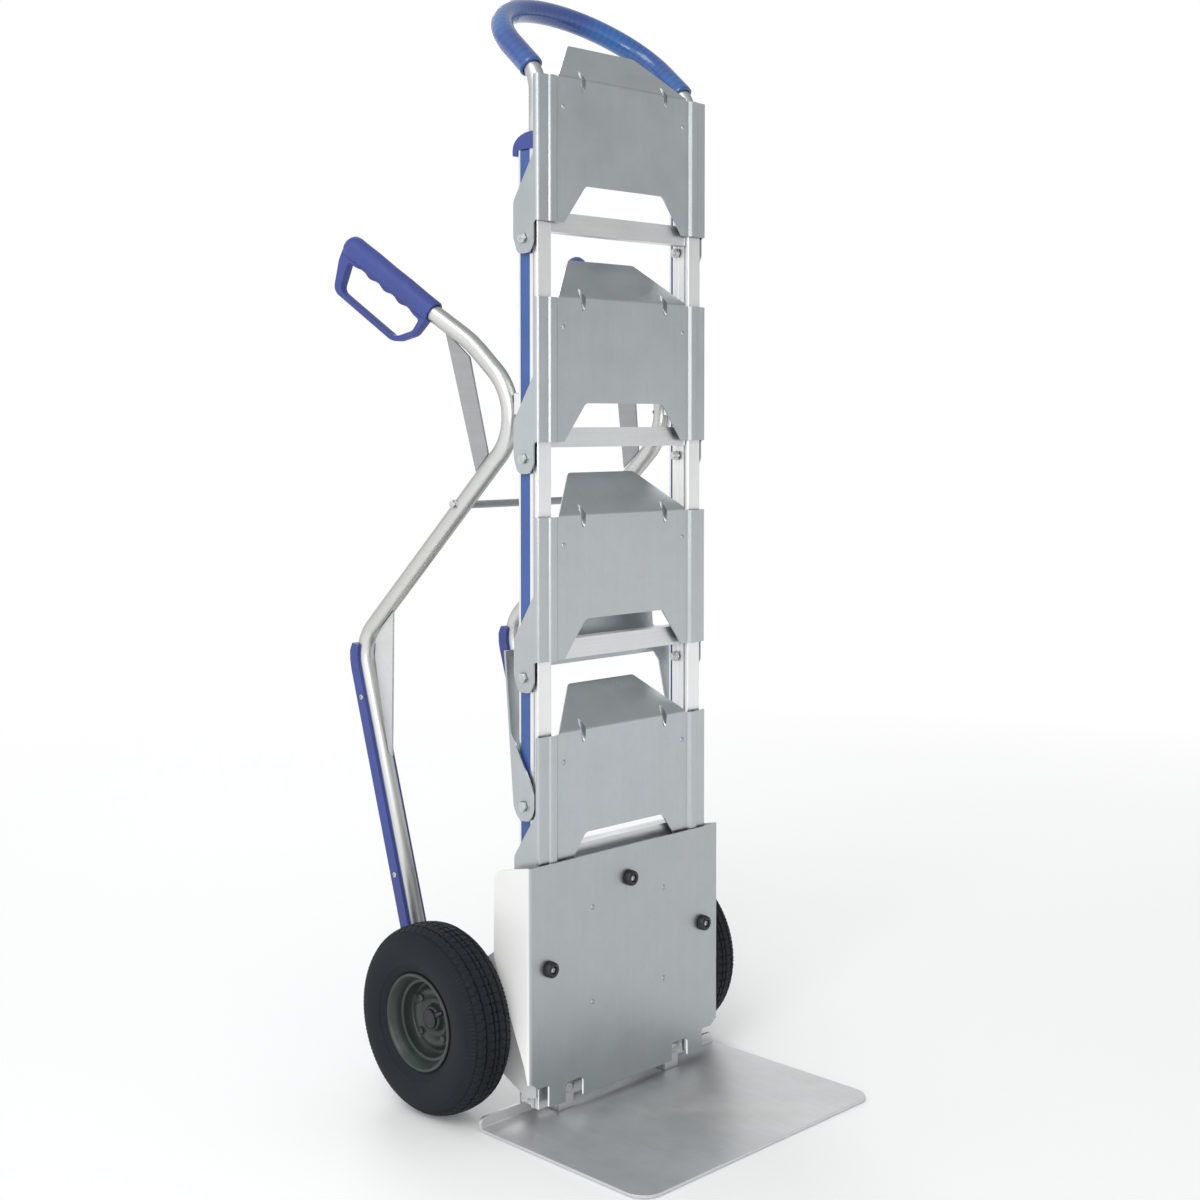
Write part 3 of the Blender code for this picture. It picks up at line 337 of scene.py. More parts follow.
SHEET_Z = aluminium("sheet_rolled_upright", (0.490, 0.525, 0.545), 0.34, "Z", 0.022, 0.045)
PLATE = wing_lit(aluminium("sheet_load_plate", (0.455, 0.485, 0.500), 0.38, "Z", 0.022, 0.045), (0.88, 0.865, 0.855), 0.12)
SIDE_PLATE = wing_lit(aluminium("sheet_axle_plate", (0.60, 0.62, 0.63), 0.42, "Z", 0.02, 0.04), (0.80, 0.80, 0.79), 0.3)
SHEET_Y = aluminium("sheet_rolled_flat", (0.74, 0.755, 0.77), 0.42, "Y", 0.03, 0.06)
EXTRUDED = aluminium("extruded_mill", (0.84, 0.86, 0.86), 0.34, "Z", 0.03, 0.03, 0.45)
RAIL = aluminium("extruded_rail", (0.70, 0.72, 0.73), 0.36, "X", 0.04, 0.03, 0.45)
# the drawn tube carries painted shade on its turned-away sides (limb 0.62) and in its corners
TUBE = aluminium("drawn_tube", (0.70, 0.705, 0.69), 0.36, "Z", 0.006, 0.02, 0.4, 0.0, 0.12, 0.62, 0.0)
# painted shade: a darker copy of the aluminium for the brace and rear crossbar, parts seen in shadow
SHADED_BAR = aluminium("shaded_flat_bar", (0.42, 0.43, 0.44), 0.45, "Y", 0.05, 0.06, 0.5)
BLUE = moulded("blue_polyamide", (0.040, 0.064, 0.265), 0.54, 0.0001, 0.10)
STRIP = moulded("blue_strip_pvc", (0.040, 0.100, 0.315), 0.42, 0.00006, 0.10)
SLEEVE = sleeve_material()
TYRE = tyre_material()
RIM = rim_material()
ZINC = zinc_material()
RUBBER = rubber_material()

SHEET_Y.node_tree.nodes["Principled BSDF"].inputs["Metallic"].default_value = 0.82
# painted light: the side faces of these plates glow with a faint emission
for pale, glow in ((PLATE, 0.13), (SIDE_PLATE, 0.06)):
    tree = pale.node_tree
    shader = tree.nodes["Principled BSDF"]
    amount = tree.nodes.new("ShaderNodeMapRange")
    amount.inputs["From Min"].default_value = 1.0
    amount.inputs["From Max"].default_value = 0.12
    amount.inputs["To Max"].default_value = glow
    tree.links.new(shader.inputs["Metallic"].links[0].from_socket, amount.inputs["Value"])
    if pale is PLATE:
        # painted glow: strongest beside the wheel, gone at the top of the wing
        place = tree.nodes.new("ShaderNodeNewGeometry")
        height = tree.nodes.new("ShaderNodeSeparateXYZ")
        tree.links.new(place.outputs["Position"], height.inputs[0])
        fade = tree.nodes.new("ShaderNodeMapRange")
        fade.inputs["From Min"].default_value = 0.11
        fade.inputs["From Max"].default_value = 0.27
        fade.inputs["To Min"].default_value = 2.3
        fade.inputs["To Max"].default_value = 0.0
        tree.links.new(height.outputs["Z"], fade.inputs["Value"])
        scaled = tree.nodes.new("ShaderNodeMath")
        scaled.operation = "MULTIPLY"
        tree.links.new(amount.outputs[0], scaled.inputs[0])
        tree.links.new(fade.outputs[0], scaled.inputs[1])
        amount = scaled
    tree.links.new(amount.outputs[0], shader.inputs["Emission Strength"])
    shader.inputs["Emission Color"].default_value = (1.0, 0.985, 0.97, 1.0)

# ------------------------------------------------------------------ mesh helpers
SCENE = bpy.context.scene.collection


def even_normals(ob):
    """Big flat faces keep flat shading next to small rounded edges."""
    mod = ob.modifiers.new("normals", "WEIGHTED_NORMAL")
    mod.mode = "FACE_AREA"
    mod.weight = 60
    mod.keep_sharp = True


def made(name, me, material, body, slot, replaces=(), angle=35.0):
    ob = bpy.data.objects.new(name, me)
    SCENE.objects.link(ob)
    if slot == "sheet":
        even_normals(ob)
    me.materials.clear()
    me.materials.append(material)
    me.shade_smooth()
    if angle is not None:
        me.set_sharp_from_angle(angle=math.radians(angle))
    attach(ob, body)
    if replaces:
        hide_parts(*replaces)
    return ob


def from_bm(name, bm, recalc=True):
    me = bpy.data.meshes.new(name)
    if recalc:
        bmesh.ops.recalc_face_normals(bm, faces=bm.faces[:])
    bm.to_mesh(me)
    bm.free()
    return me


def temp(me, name="tmp"):
    ob = bpy.data.objects.new(name, me)
    SCENE.objects.link(ob)
    return ob


def baked(ob):
    """The mesh of a temporary object after its modifiers; the object is removed."""
    bpy.context.view_layer.update()
    dg = bpy.context.evaluated_depsgraph_get()
    me = bpy.data.meshes.new_from_object(ob.evaluated_get(dg))
    me.transform(ob.matrix_world)
    bpy.data.objects.remove(ob, do_unlink=True)
    return me


def boolean(me, other, op):
    a, b = temp(me, "tmp_a"), temp(other, "tmp_b")
    mod = a.modifiers.new("cut", "BOOLEAN")
    mod.object, mod.operation, mod.solver = b, op, "EXACT"
    out = baked(a)
    bpy.data.objects.remove(b, do_unlink=True)
    return out


def join(meshes):
    bm = bmesh.new()
    for me in meshes:
        bm.from_mesh(me)
    out = bpy.data.meshes.new("joined")
    bm.to_mesh(out)
    bm.free()
    return out


def moved(me, offset=(0, 0, 0), mirror=False):
    out = me.copy()
    if mirror:
        out.transform(Matrix.Diagonal((-1, 1, 1, 1)))
        out.flip_normals()
    out.transform(Matrix.Translation(Vector(offset)))
    return out


def softened(me, width=0.0005, segments=2, angle=32.0):
    ob = temp(me)
    mod = ob.modifiers.new("edge", "BEVEL")
    mod.width = width
    mod.segments = segments
    mod.limit_method = "ANGLE"
    mod.angle_limit = math.radians(angle)
    mod.use_clamp_overlap = True
    mod.harden_normals = False
    return baked(ob)


PLANES = {"XY": Matrix(((1, 0, 0), (0, 1, 0), (0, 0, 1))),
          "YZ": Matrix(((0, 0, 1), (1, 0, 0), (0, 1, 0))),
          "XZ": Matrix(((1, 0, 0), (0, 0, -1), (0, 1, 0)))}


def prism(outline, plane, a, b, holes=(), edge=0.4, res=2):
    """A flat plate with rounded edges from a 2-D outline, in mm, as a mesh."""
    cu = bpy.data.curves.new("outline", "CURVE")
    cu.dimensions = "2D"
    cu.fill_mode = "BOTH"
    cu.extrude = max(abs(b - a) / 2000.0 - edge / 1000.0, 1e-5)
    cu.bevel_depth = edge / 1000.0
    cu.offset = -edge / 1000.0
    cu.bevel_resolution = res
    for number, loop in enumerate([outline, *holes]):
        area = sum(a[0] * b[1] - b[0] * a[1] for a, b in zip(loop, list(loop[1:]) + [loop[0]]))
        if (area > 0) != (number == 0):
            loop = list(loop)[::-1]
        sp = cu.splines.new("POLY")
        sp.points.add(len(loop) - 1)
        for p, (x, y) in zip(sp.points, loop):
            p.co = (x / 1000.0, y / 1000.0, 0.0, 1.0)
        sp.use_cyclic_u = True
    ob = bpy.data.objects.new("tmp_curve", cu)
    SCENE.objects.link(ob)
    rot = PLANES[plane]
    centre = (a + b) / 2000.0 * (-1 if plane == "XZ" else 1)
    ob.matrix_world = Matrix.Translation((rot @ Vector((0, 0, 1))) * centre) @ rot.to_4x4()
    me = baked(ob)
    bm = bmesh.new()
    bm.from_mesh(me)
    bmesh.ops.remove_doubles(bm, verts=bm.verts[:], dist=1e-6)
    bmesh.ops.recalc_face_normals(bm, faces=bm.faces[:])
    bm.to_mesh(me)
    bm.free()
    return me


def circle(cx, cy, r, n=32, turn=0.0):
    return [(cx + r * math.cos(turn + 2 * math.pi * i / n), cy + r * math.sin(turn + 2 * math.pi * i / n))
            for i in range(n)]


def rounded(points, radii, steps=6):
    n = len(points)
    out = []
    for i, (p, r) in enumerate(zip(points, radii)):
        p = Vector(p)
        if r <= 0:
            out.append(tuple(p))
            continue
        a = (Vector(points[i - 1]) - p).normalized()
        b = (Vector(points[(i + 1) % n]) - p).normalized()
        half = a.angle(b) / 2
        t = r / math.tan(half)
        c = p + (a + b).normalized() * (r / math.sin(half))
        s, e = p + a * t - c, p + b * t - c
        turn = math.atan2(s.x * e.y - s.y * e.x, s.dot(e))
        for k in range(steps + 1):
            out.append(tuple(c + Matrix.Rotation(turn * k / steps, 2) @ s))
    return out


def rounded_open(points, radii, steps=6):
    """An open 2-D path with arcs at its inner corners."""
    out = [tuple(points[0])]
    for i in range(1, len(points) - 1):
        p, r = Vector(points[i]), radii[i]
        a = (Vector(points[i - 1]) - p).normalized()
        b = (Vector(points[i + 1]) - p).normalized()
        half = a.angle(b) / 2
        t = r / math.tan(half)
        c = p + (a + b).normalized() * (r / math.sin(half))
        s, e = p + a * t - c, p + b * t - c
        turn = math.atan2(s.x * e.y - s.y * e.x, s.dot(e))
        for k in range(steps + 1):
            out.append(tuple(c + Matrix.Rotation(turn * k / steps, 2) @ s))
    out.append(tuple(points[-1]))
    return out


def fillet_path(points, radii, step=5.0):
    pts = [Vector(p) for p in points]
    out = [pts[0]]
    for i in range(1, len(pts) - 1):
        p, r = pts[i], radii[i]
        a = (pts[i - 1] - p).normalized()
        b = (pts[i + 1] - p).normalized()
        half = a.angle(b) / 2
        t = r / math.tan(half)
        c = p + (a + b).normalized() * (r / math.sin(half))
        s, e = p + a * t - c, p + b * t - c
        total = s.angle(e)
        axis = s.cross(e).normalized()
        n = max(2, round(math.degrees(total) / step))
        for k in range(n + 1):
            out.append(c + Matrix.Rotation(total * k / n, 3, axis) @ s)
    out.append(pts[-1])
    return out


def frames(points):
    """Unit tangents and steady side vectors along a polyline."""
    tang = []
    for i in range(len(points)):
        a = points[max(i - 1, 0)]
        b = points[min(i + 1, len(points) - 1)]
        tang.append((b - a).normalized())
    side = tang[0].orthogonal().normalized()
    out = []
    for i, t in enumerate(tang):
        side = (side - t * side.dot(t)).normalized()
        out.append((t, side, t.cross(side)))
    return out


def sweep(points, radius, sides=32, wall=2.0, bulge=None, lips=0.4):
    """A round tube with real wall thickness and softened end rims, points in mm.  A UV map
    runs along it in units that make the fine rings of the sleeve."""
    pts = [Vector(p) for p in points]
    fr = frames(pts)
    bm = bmesh.new()
    uv_len = [0.0]
    for a, b in zip(pts, pts[1:]):
        uv_len.append(uv_len[-1] + (b - a).length)

    def ring(i, r, shift=0.0):
        t, s, u = fr[i]
        return [bm.verts.new((pts[i] + t * shift + (s * math.cos(2 * math.pi * k / sides)
                                                    + u * math.sin(2 * math.pi * k / sides)) * r) / 1000.0)
                for k in range(sides)]
    rings, lens = [], []
    last = len(pts) - 1
    rings.append(ring(0, radius - wall, 0.0)); lens.append(0)
    rings.append(ring(0, radius - lips, 0.0)); lens.append(0)
    rings.append(ring(0, radius, lips)); lens.append(0)
    for i in range(1, last):
        r = radius if bulge is None else bulge(uv_len[i], uv_len[-1], radius)
        rings.append(ring(i, r)); lens.append(uv_len[i])
    rings.append(ring(last, radius, -lips)); lens.append(uv_len[-1])
    rings.append(ring(last, radius - lips)); lens.append(uv_len[-1])
    rings.append(ring(last, radius - wall)); lens.append(uv_len[-1])
    for i in range(last - 1, 0, -1):
        rings.append(ring(i, radius - wall)); lens.append(uv_len[i])
    uv = bm.loops.layers.uv.new("along")
    count = len(rings)
    for i in range(count):
        a, b = rings[i], rings[(i + 1) % count]
        for k in range(sides):
            f = bm.faces.new((a[k], a[(k + 1) % sides], b[(k + 1) % sides], b[k]))
            la, lb = lens[i], lens[(i + 1) % count]
            for loop, (length, q) in zip(f.loops, ((la, k), (la, k + 1), (lb, k + 1), (lb, k))):
                loop[uv].uv = (length / 34.0, q / sides)
    return from_bm("tube", bm)


def lathe(profile, centre=(0, 0, 0), segs=96, side=1, closed=True, lug=None):
    """A turned body about X.  profile is (axial, radius) in mm; lug(axial, radius, angle, row)
    may return a change of radius, which makes a tread."""
    bm = bmesh.new()
    rings = []
    for k in range(segs):
        a = 2 * math.pi * k / segs
        row = []
        for j, (x, r) in enumerate(profile):
            rr = r + (lug(x, r, a, j, k) if lug else 0.0)
            row.append(bm.verts.new(v(centre[0] + side * x, centre[1] + rr * math.cos(a), centre[2] + rr * math.sin(a))))
        rings.append(row)
    n = len(profile)
    for k in range(segs):
        a, b = rings[k], rings[(k + 1) % segs]
        for j in range(n if closed else n - 1):
            jj = (j + 1) % n
            try:
                bm.faces.new((a[j], a[jj], b[jj], b[j]))
            except ValueError:
                pass
    if not closed:
        for j in (0, n - 1):
            bm.faces.new([r[j] for r in rings])
    return from_bm("lathe", bm)


def to_axis(me, axis):
    """Turns a body made about X so that its +X side points along another axis."""
    rot = {"X": Matrix.Identity(4), "-X": Matrix.Rotation(math.pi, 4, "Z"),
           "Y": Matrix.Rotation(math.pi / 2, 4, "Z"), "-Y": Matrix.Rotation(-math.pi / 2, 4, "Z"),
           "Z": Matrix.Rotation(-math.pi / 2, 4, "Y")}[axis]
    me.transform(rot)
    return me


def placed(me, x, y, z):
    out = me.copy()
    out.transform(Matrix.Translation(v(x, y, z)))
    return out


def hex_head(af, height, washer=0.0, washer_t=0.0, dimple=0.0):
    """Hexagon head with turned chamfer, pointing along +X from x = 0."""
    r = af / math.sqrt(3)
    bm = bmesh.new()
    bmesh.ops.create_cone(bm, cap_ends=True, segments=6, radius1=r / 1000, radius2=r / 1000, depth=height / 1000)
    bmesh.ops.rotate(bm, verts=bm.verts[:], matrix=Matrix.Rotation(math.pi / 2, 3, "Y"))
    bmesh.ops.translate(bm, verts=bm.verts[:], vec=v(washer_t + height / 2, 0, 0))
    me = from_bm("hex", bm)
    top = washer_t + height
    body = [(washer_t - 1, 0.01), (washer_t - 1, r + 1), (top - 1.1, r + 0.7), (top, af / 2 * 0.93), (top, 0.01)]
    me = boolean(me, lathe(body, segs=48, closed=False), "INTERSECT")
    me = softened(me, 0.00025, 2, 25)
    parts = [me]
    if dimple:
        parts.append(lathe([(top - 0.1, 0.01), (top - 0.1, dimple + 0.5), (top + 0.25, dimple), (top + 0.15, dimple - 0.8),
                            (top + 0.1, 0.01)], segs=32, closed=False))
    if washer:
        parts.append(lathe([(0, 4.0), (0, washer - 0.2), (0.25, washer), (washer_t - 0.3, washer), (washer_t, washer - 0.3),
                            (washer_t, 4.0)], segs=40))
    return join(parts)


def rivet(r, h):
    """Domed rivet head with a mandrel dimple, pointing along +X from x = 0."""
    prof = [(-0.3, 0.01), (-0.3, r), (0.15, r), (h * 0.45, r * 0.9), (h * 0.8, r * 0.66), (h, r * 0.36), (h * 0.93, r * 0.30),
            (h * 0.62, r * 0.26), (h * 0.6, 0.01)]
    return lathe(prof, segs=28, closed=False)


def pan_screw(r, h):
    """Pan head screw with a cross recess, pointing along +X."""
    prof = [(-0.3, 0.01), (-0.3, r), (0.3, r), (h * 0.6, r * 0.93), (h * 0.88, r * 0.72), (h, r * 0.4), (h, 0.01)]
    me = lathe(prof, segs=28, closed=False)
    for turn in (0.0, math.pi / 2):
        bm = bmesh.new()
        bmesh.ops.create_cube(bm, size=1.0)
        for p in bm.verts:
            p.co = v(p.co.x * 2 + h, p.co.y * r * 1.1, p.co.z * r * 0.26)
        bmesh.ops.rotate(bm, verts=bm.verts[:], matrix=Matrix.Rotation(turn, 3, "X"))
        me = boolean(me, from_bm("slot", bm), "DIFFERENCE")
    return me


RIVET = rivet(3.6, 1.5)
SCREW = pan_screw(4.2, 2.4)
SIDES = ((-1, "left"), (1, "right"))


# ------------------------------------------------------------------ sheet metal
def sheet(faces, thickness=SHEET, edge=0.35):
    bm = bmesh.new()
    for panel in faces:
        bm.faces.new([bm.verts.new(v(*p)) for p in panel])
    bmesh.ops.remove_doubles(bm, verts=bm.verts[:], dist=1e-6)
    me = from_bm("sheet", bm)
    ob = temp(me)
    mod = ob.modifiers.new("sheet", "SOLIDIFY")
    mod.thickness = thickness / 1000.0
    mod.offset = 0.0
    mod.solidify_mode = "NON_MANIFOLD"
    mod.nonmanifold_thickness_mode = "CONSTRAINTS"
    return baked(ob)


def tray_mesh(rear=2.0):
    """One tray at pivot height zero: rounded hats, plate with its cut-out, stiffening darts
    pressed across the bend, and the lip."""
    xo = 169.0 - SHEET / 2
    py, hy = -3.75, -5.5
    z0, z1 = 22.5, 217.0
    faces = []
    for s in (-1, 1):
        path = rounded_open([(s * xo, 0.0 if rear > 0 else -2.2), (s * xo, hy), (s * 149.0, hy), (s * 146.0, -8.3), (s * 136.5, -8.3), (s * 131.5, py),
                             (s * 126.0, py)], [0, 4.8 if rear > 0 else 2.6, 2.5, 3.0, 3.5, 3.0, 0], 5)
        for (xa, ya), (xb, yb) in zip(path, path[1:]):
            faces.append([(xa, ya, z0), (xb, yb, z0), (xb, yb, z1), (xa, ya, z1)])
        fy = path[0][1]
        # the flange: straight at the top, then flaring to the rounded pivot lug
        lug = rounded([(fy, z0), (fy, z1), (rear, z1), (rear, 112.0), (41.5, 50.0), (41.5, 2.0), (33.0, -20.5), (10.0, -20.5),
                       (2.4, -5.0), (2.4, 19.5)], [0, 0, 1.7 if rear > 0 else 0.5, 14.0, 16.0, 16.0, 10.0, 9.0, 9.0, 1.5], 5)
        lug = [p for i, p in enumerate(lug) if i == 0 or (Vector(p) - Vector(lug[i - 1])).length > 0.05]
        faces.append([(s * xo, y, z) for y, z in lug])
    b = 126.0
    notch = rounded([(-118.0, z0), (-77.0, 75.0), (77.0, 75.0), (118.0, z0)], [0, 10.0, 10.0, 0], 8)
    faces.append([(-b, py, z1), (-b, py, z0)] + [(x, py, z) for x, z in notch] + [(b, py, z0), (b, py, z1)])
    a = math.radians(40.0)
    slant, tip_half = 74.0, 65.0

    def half(d):
        return 129.0 + (tip_half - 129.0) * d / slant
    prev = None
    for k in range(6):
        t = a * k / 5
        y, z = py + 5.0 * (1 - math.cos(t)), z1 + 5.0 * math.sin(t)
        w = b if k == 0 else min(half(math.hypot(y - py, z - z1)), b)
        if prev:
            pw, pyy, pz = prev
            faces.append([(-pw, pyy, pz), (pw, pyy, pz), (w, y, z), (-w, y, z)])
        prev = (w, y, z)
    pw, pyy, pz = prev
    ty, tz = py + slant * math.sin(a), z1 + slant * math.cos(a)
    length = math.hypot(ty - pyy, tz - pz)
    crown = rounded([(-pw, 0), (-tip_half, length), (tip_half, length), (pw, 0)], [0, 9.0, 9.0, 0], 5)
    faces.append([(x, pyy + (ty - pyy) * d / length, pz + (tz - pz) * d / length) for x, d in crown])
    me = sheet(faces)
    # darts: a round tool pressed across the bend, the metal behind it pushed rearward
    front = py - SHEET / 2
    slope = Vector((0, math.sin(a), math.cos(a)))
    corner = Vector((0, front, z1 + 1.0))
    mid_dir = Vector((0, math.sin(a / 2), math.cos(a / 2)))
    inward = Vector((0, math.cos(a / 2), -math.sin(a / 2)))
    turned = mid_dir.to_track_quat("Z", "X").to_matrix().to_4x4()

    def pip(s, across, deep, long, push):
        """A long drop-shaped tool lying along the bend's middle direction."""
        bm = bmesh.new()
        bmesh.ops.create_uvsphere(bm, u_segments=28, v_segments=18, radius=0.001)
        bmesh.ops.scale(bm, verts=bm.verts[:], vec=(across, deep, long))
        bmesh.ops.transform(bm, verts=bm.verts[:], matrix=turned)
        at = corner + inward * push
        bmesh.ops.translate(bm, verts=bm.verts[:], vec=v(s * 82.0, at.y, at.z))
        return from_bm("tool", bm)
    for s in (-1, 1):
        lo = Vector((0, front + 0.45, z1 - 42.0))
        knee = Vector((0, front + 0.45, z1 + 0.4))
        hi = knee + slope * 42.0
        poly = [(lo.y, lo.z), (knee.y, knee.z), (hi.y, hi.z), (hi.y + 16, hi.z - 10), (knee.y + 22, knee.z - 10),
                (lo.y + 14, lo.z)]
        wedge = prism(poly, "YZ", s * 82.0 - 12, s * 82.0 + 12, edge=0.01, res=0)
        me = boolean(me, boolean(pip(s, 10.2, 7.0, 23.0, 0.9), wedge, "INTERSECT"), "UNION")
        me = boolean(me, pip(s, 8.2, 4.8, 20.5, 0.9), "DIFFERENCE")
    me = softened(me, 0.0003, 2, 40)
    heads = []
    for s in (-1, 1):
        heads.append(placed(to_axis(RIVET.copy(), "-Y"), s * 119.5, front, 178.0))
        # the rivet's set end behind the plate
        heads.append(placed(to_axis(rivet(2.8, 1.2), "Y"), s * 119.5, py + SHEET / 2, 178.0))
    return join([me] + heads)


TRAY = tray_mesh()
LOW_TRAY = tray_mesh(-1.5)
BODIES = ["tray_upper", "tray_second", "tray_third", "frame"]
for i in range(4):
    me = moved(LOW_TRAY if i == 3 else TRAY, (0, 0, PIVOT_Z[i] / 1000.0))
    made("tray_shell_%d" % (i + 1), me, SHEET_Z, BODIES[i], "sheet", ["tray_%d" % (i + 1)], 32)

# ------------------------------------------------------------------ pivot bolts
HEAD = hex_head(12.8, 4.6, 0.0, 0.0, 3.4)
NUT = hex_head(12.8, 6.2, 0.0, 0.0, 3.6)


def bolt_mesh(s):
    out = []
    head = to_axis(HEAD.copy(), "X" if s > 0 else "-X")
    out.append(placed(head, s * 169.3, 0, 0))
    nut = to_axis(NUT.copy(), "-X" if s > 0 else "X")
    out.append(placed(nut, s * 136.2, 0, 0))
    for x0, x1, r in ((163.6, 166.1, 8.0), (128.4, 129.6, 3.7)):
        m = lathe([(x0, 0.01), (x0, r - 0.2), (x0 + 0.2, r), (x1 - 0.2, r), (x1, r - 0.2), (x1, 0.01)], segs=40, closed=False)
        out.append(to_axis(m, "X" if s > 0 else "-X"))
    shank = lathe([(129.0, 0.01), (129.0, 3.9), (171.0, 3.9), (171.0, 0.01)], segs=28, closed=False)
    out.append(to_axis(shank, "X" if s > 0 else "-X"))
    return join(out)


for s, sd in SIDES:
    me = bolt_mesh(s)
    for i in range(4):
        made("pivot_bolt_%d_%s" % (i + 1, sd), placed(me, 0, PIVOT_Y, PIVOT_Z[i]), ZINC, "frame", "zinc",
             ["tray_%d_bolt_%s" % (i + 1, sd)], 30)
    made("stand_pivot_bolt_" + sd, placed(me, 0, PIVOT_Y, STAND_Z), ZINC, "frame", "zinc", ["stand_bolt_" + sd], 30)

# ------------------------------------------------------------------ push handle


def handle_points(step=5.0, flank=20):
    lean = math.radians(48.0)
    up = Vector((0, math.sin(lean), math.cos(lean)))
    hx, hy = 150.25, 13.5
    base = Vector((hx, hy, 1420.0))
    path = fillet_path([Vector((hx, hy, 1372.0)), base, base + up * 66.0], [0, 52.0, 0], step=step)
    left = [Vector((hx, hy, 1318.3))] + path
    arc = [Vector((hx * math.cos(t), base.y, base.z)) + up * (66.0 + 122.0 * math.sin(t))
           for t in [math.pi / 2 * k / flank for k in range(1, flank + 1)]]
    half = left + arc
    return half + [Vector((-p.x, p.y, p.z)) for p in reversed(half[:-1])]


HANDLE = handle_points()
made("push_handle_tube", sweep(HANDLE, 12.0, 32, 2.0), TUBE, "frame", "mill", ["handle_tube"], 50)
first = next(i for i, p in enumerate(HANDLE) if p.z > 1429.0)
made("push_handle_sleeve", sweep(HANDLE[first:len(HANDLE) - first], 16.5, 36, 3.6, None, 1.2), SLEEVE, "frame", "sleeve",
     ["handle_sleeve"], 50)


# ------------------------------------------------------------------ rear struts
def strut_points(s, step=5.0):
    corner = [(150.0, 245.0, 116.0), (150.0, 403.0, 620.0), (150.0, 28.5, 964.0), (163.0, 134.0, 1063.0),
              (182.0, 191.0, 1104.0), (217.0, 303.7, 1188.5)]
    return fillet_path([(s * x, y, z) for x, y, z in corner], [0, 58.0, 80.0, 150.0, 300.0, 0], step)


def grip_mesh(s):
    """Moulded hand guard in its own axes (along the tube, away from it, across)."""
    outline = rounded([(4, -11.5), (158, -14.5), (176, -14), (182, 4), (178, 26), (160, 68), (30, 70), (7, 42), (3, 14)],
                      [3, 10, 9, 9, 14, 17, 26, 18, 2], 9)
    # finger grooves on the inner edge, under the sleeve
    grooves = [(24 + 124 * k / 40.0, 17.6 + 1.7 * math.cos(2 * math.pi * 4 * k / 40.0)) for k in range(41)]
    inner = grooves + rounded([(162, 19.5), (151, 61), (34, 62.5), (14, 38), (14, 19.5)], [5, 11, 18, 12, 4], 9)
    guard = prism(outline, "XY", -8.5, 8.5, holes=[inner], edge=2.2, res=4)
    prof = [(3, 13.0), (2, 14.5), (2.4, 16.2), (4, 17.0), (30, 17.0), (60, 17.6), (95, 17.2), (130, 17.8), (156, 17.4), (168, 17.6),
            (175, 16.2), (179, 12.5), (181, 7.0), (181.5, 0.01)]
    fine = []
    for (xa, ra), (xb, rb) in zip(prof, prof[1:]):
        steps = max(1, int(abs(xb - xa) / 8))
        for k in range(steps):
            fine.append((xa + (xb - xa) * k / steps, ra + (rb - ra) * k / steps))
    fine.append(prof[-1])
    sleeve = lathe([(3, 0.01)] + fine, segs=40, closed=False)
    me = join([sleeve, guard])
    origin = Vector((s * 182.0, 191.0, 1104.0))
    t = Vector((s * 41.0, 132.0, 99.0)).normalized()
    across = Vector((0, 0, 1)).cross(t).normalized()
    n = t.cross(across).normalized()
    if n.z > 0:
        n = -n
    third = t.cross(n)
    turn = Matrix((t, n, third)).transposed().to_4x4()
    turn.translation = origin / 1000.0
    me.transform(turn)
    if turn.determinant() < 0:
        me.flip_normals()
    return me


for s, sd in SIDES:
    made("stair_strut_" + sd, sweep(strut_points(s), 12.5, 32, 2.0), TUBE, "frame", "mill", ["strut_" + sd], 50)
    made("guarded_grip_" + sd, grip_mesh(s), BLUE, "frame", "blue", ["hand_grip_" + sd], 38)

# ------------------------------------------------------------------ wheels


def tyre_mesh():
    """Tyre about the axle at the origin: ribbed shoulders, blocked tread, ringed side walls."""
    w = 40.0
    outer = [(-19.5, 60.8), (-24.0, 61.0), (-26.5, 63.4), (-29.5, 68.2), (-33.0, 73.0), (-35.8, 78.5), (-36.4, 78.6), (-38.4, 85.0), (-39.8, 93.0),
             (-40.0, 99.5), (-39.5, 106.0), (-38.5, 109.7), (-38.0, 110.0), (-36.4, 114.0), (-34.0, 117.6), (-31.4, 120.6), (-30.4, 121.6),
             (-30.0, 119.9), (-28.6, 120.9), (-28.2, 123.2),
             (-24.0, 126.2), (-18.6, 128.0), (-18.2, 125.4), (-16.2, 125.8), (-15.8, 128.6), (-9.0, 129.7), (-5.2, 129.9),
             (-4.8, 126.8), (-2.9, 126.9), (-2.5, 130.0)]
    prof = outer + [(-x, r) for x, r in reversed(outer)]
    prof += [(20, 73), (31, 87), (33, 103), (24, 115.5), (0, 122), (-24, 115.5), (-33, 103), (-31, 87), (-20, 73)]
    lugs = 132

    def lug(x, r, a, j, k):
        ax = abs(x)
        if 111 < r and 30.0 < ax < 38.5:
            # fine shoulder ribs
            return 0.0 if (k % 3) else -1.5
        if r > 121 and ax <= 28.3 and r > 123:
            row = 0 if ax < 10 else (1 if ax < 19 else 2)
            phase = (k + row * 2) % 6
            return -1.9 if phase == 0 else 0.0
        return 0.0
    return lathe(prof, segs=lugs * 3, lug=lug)


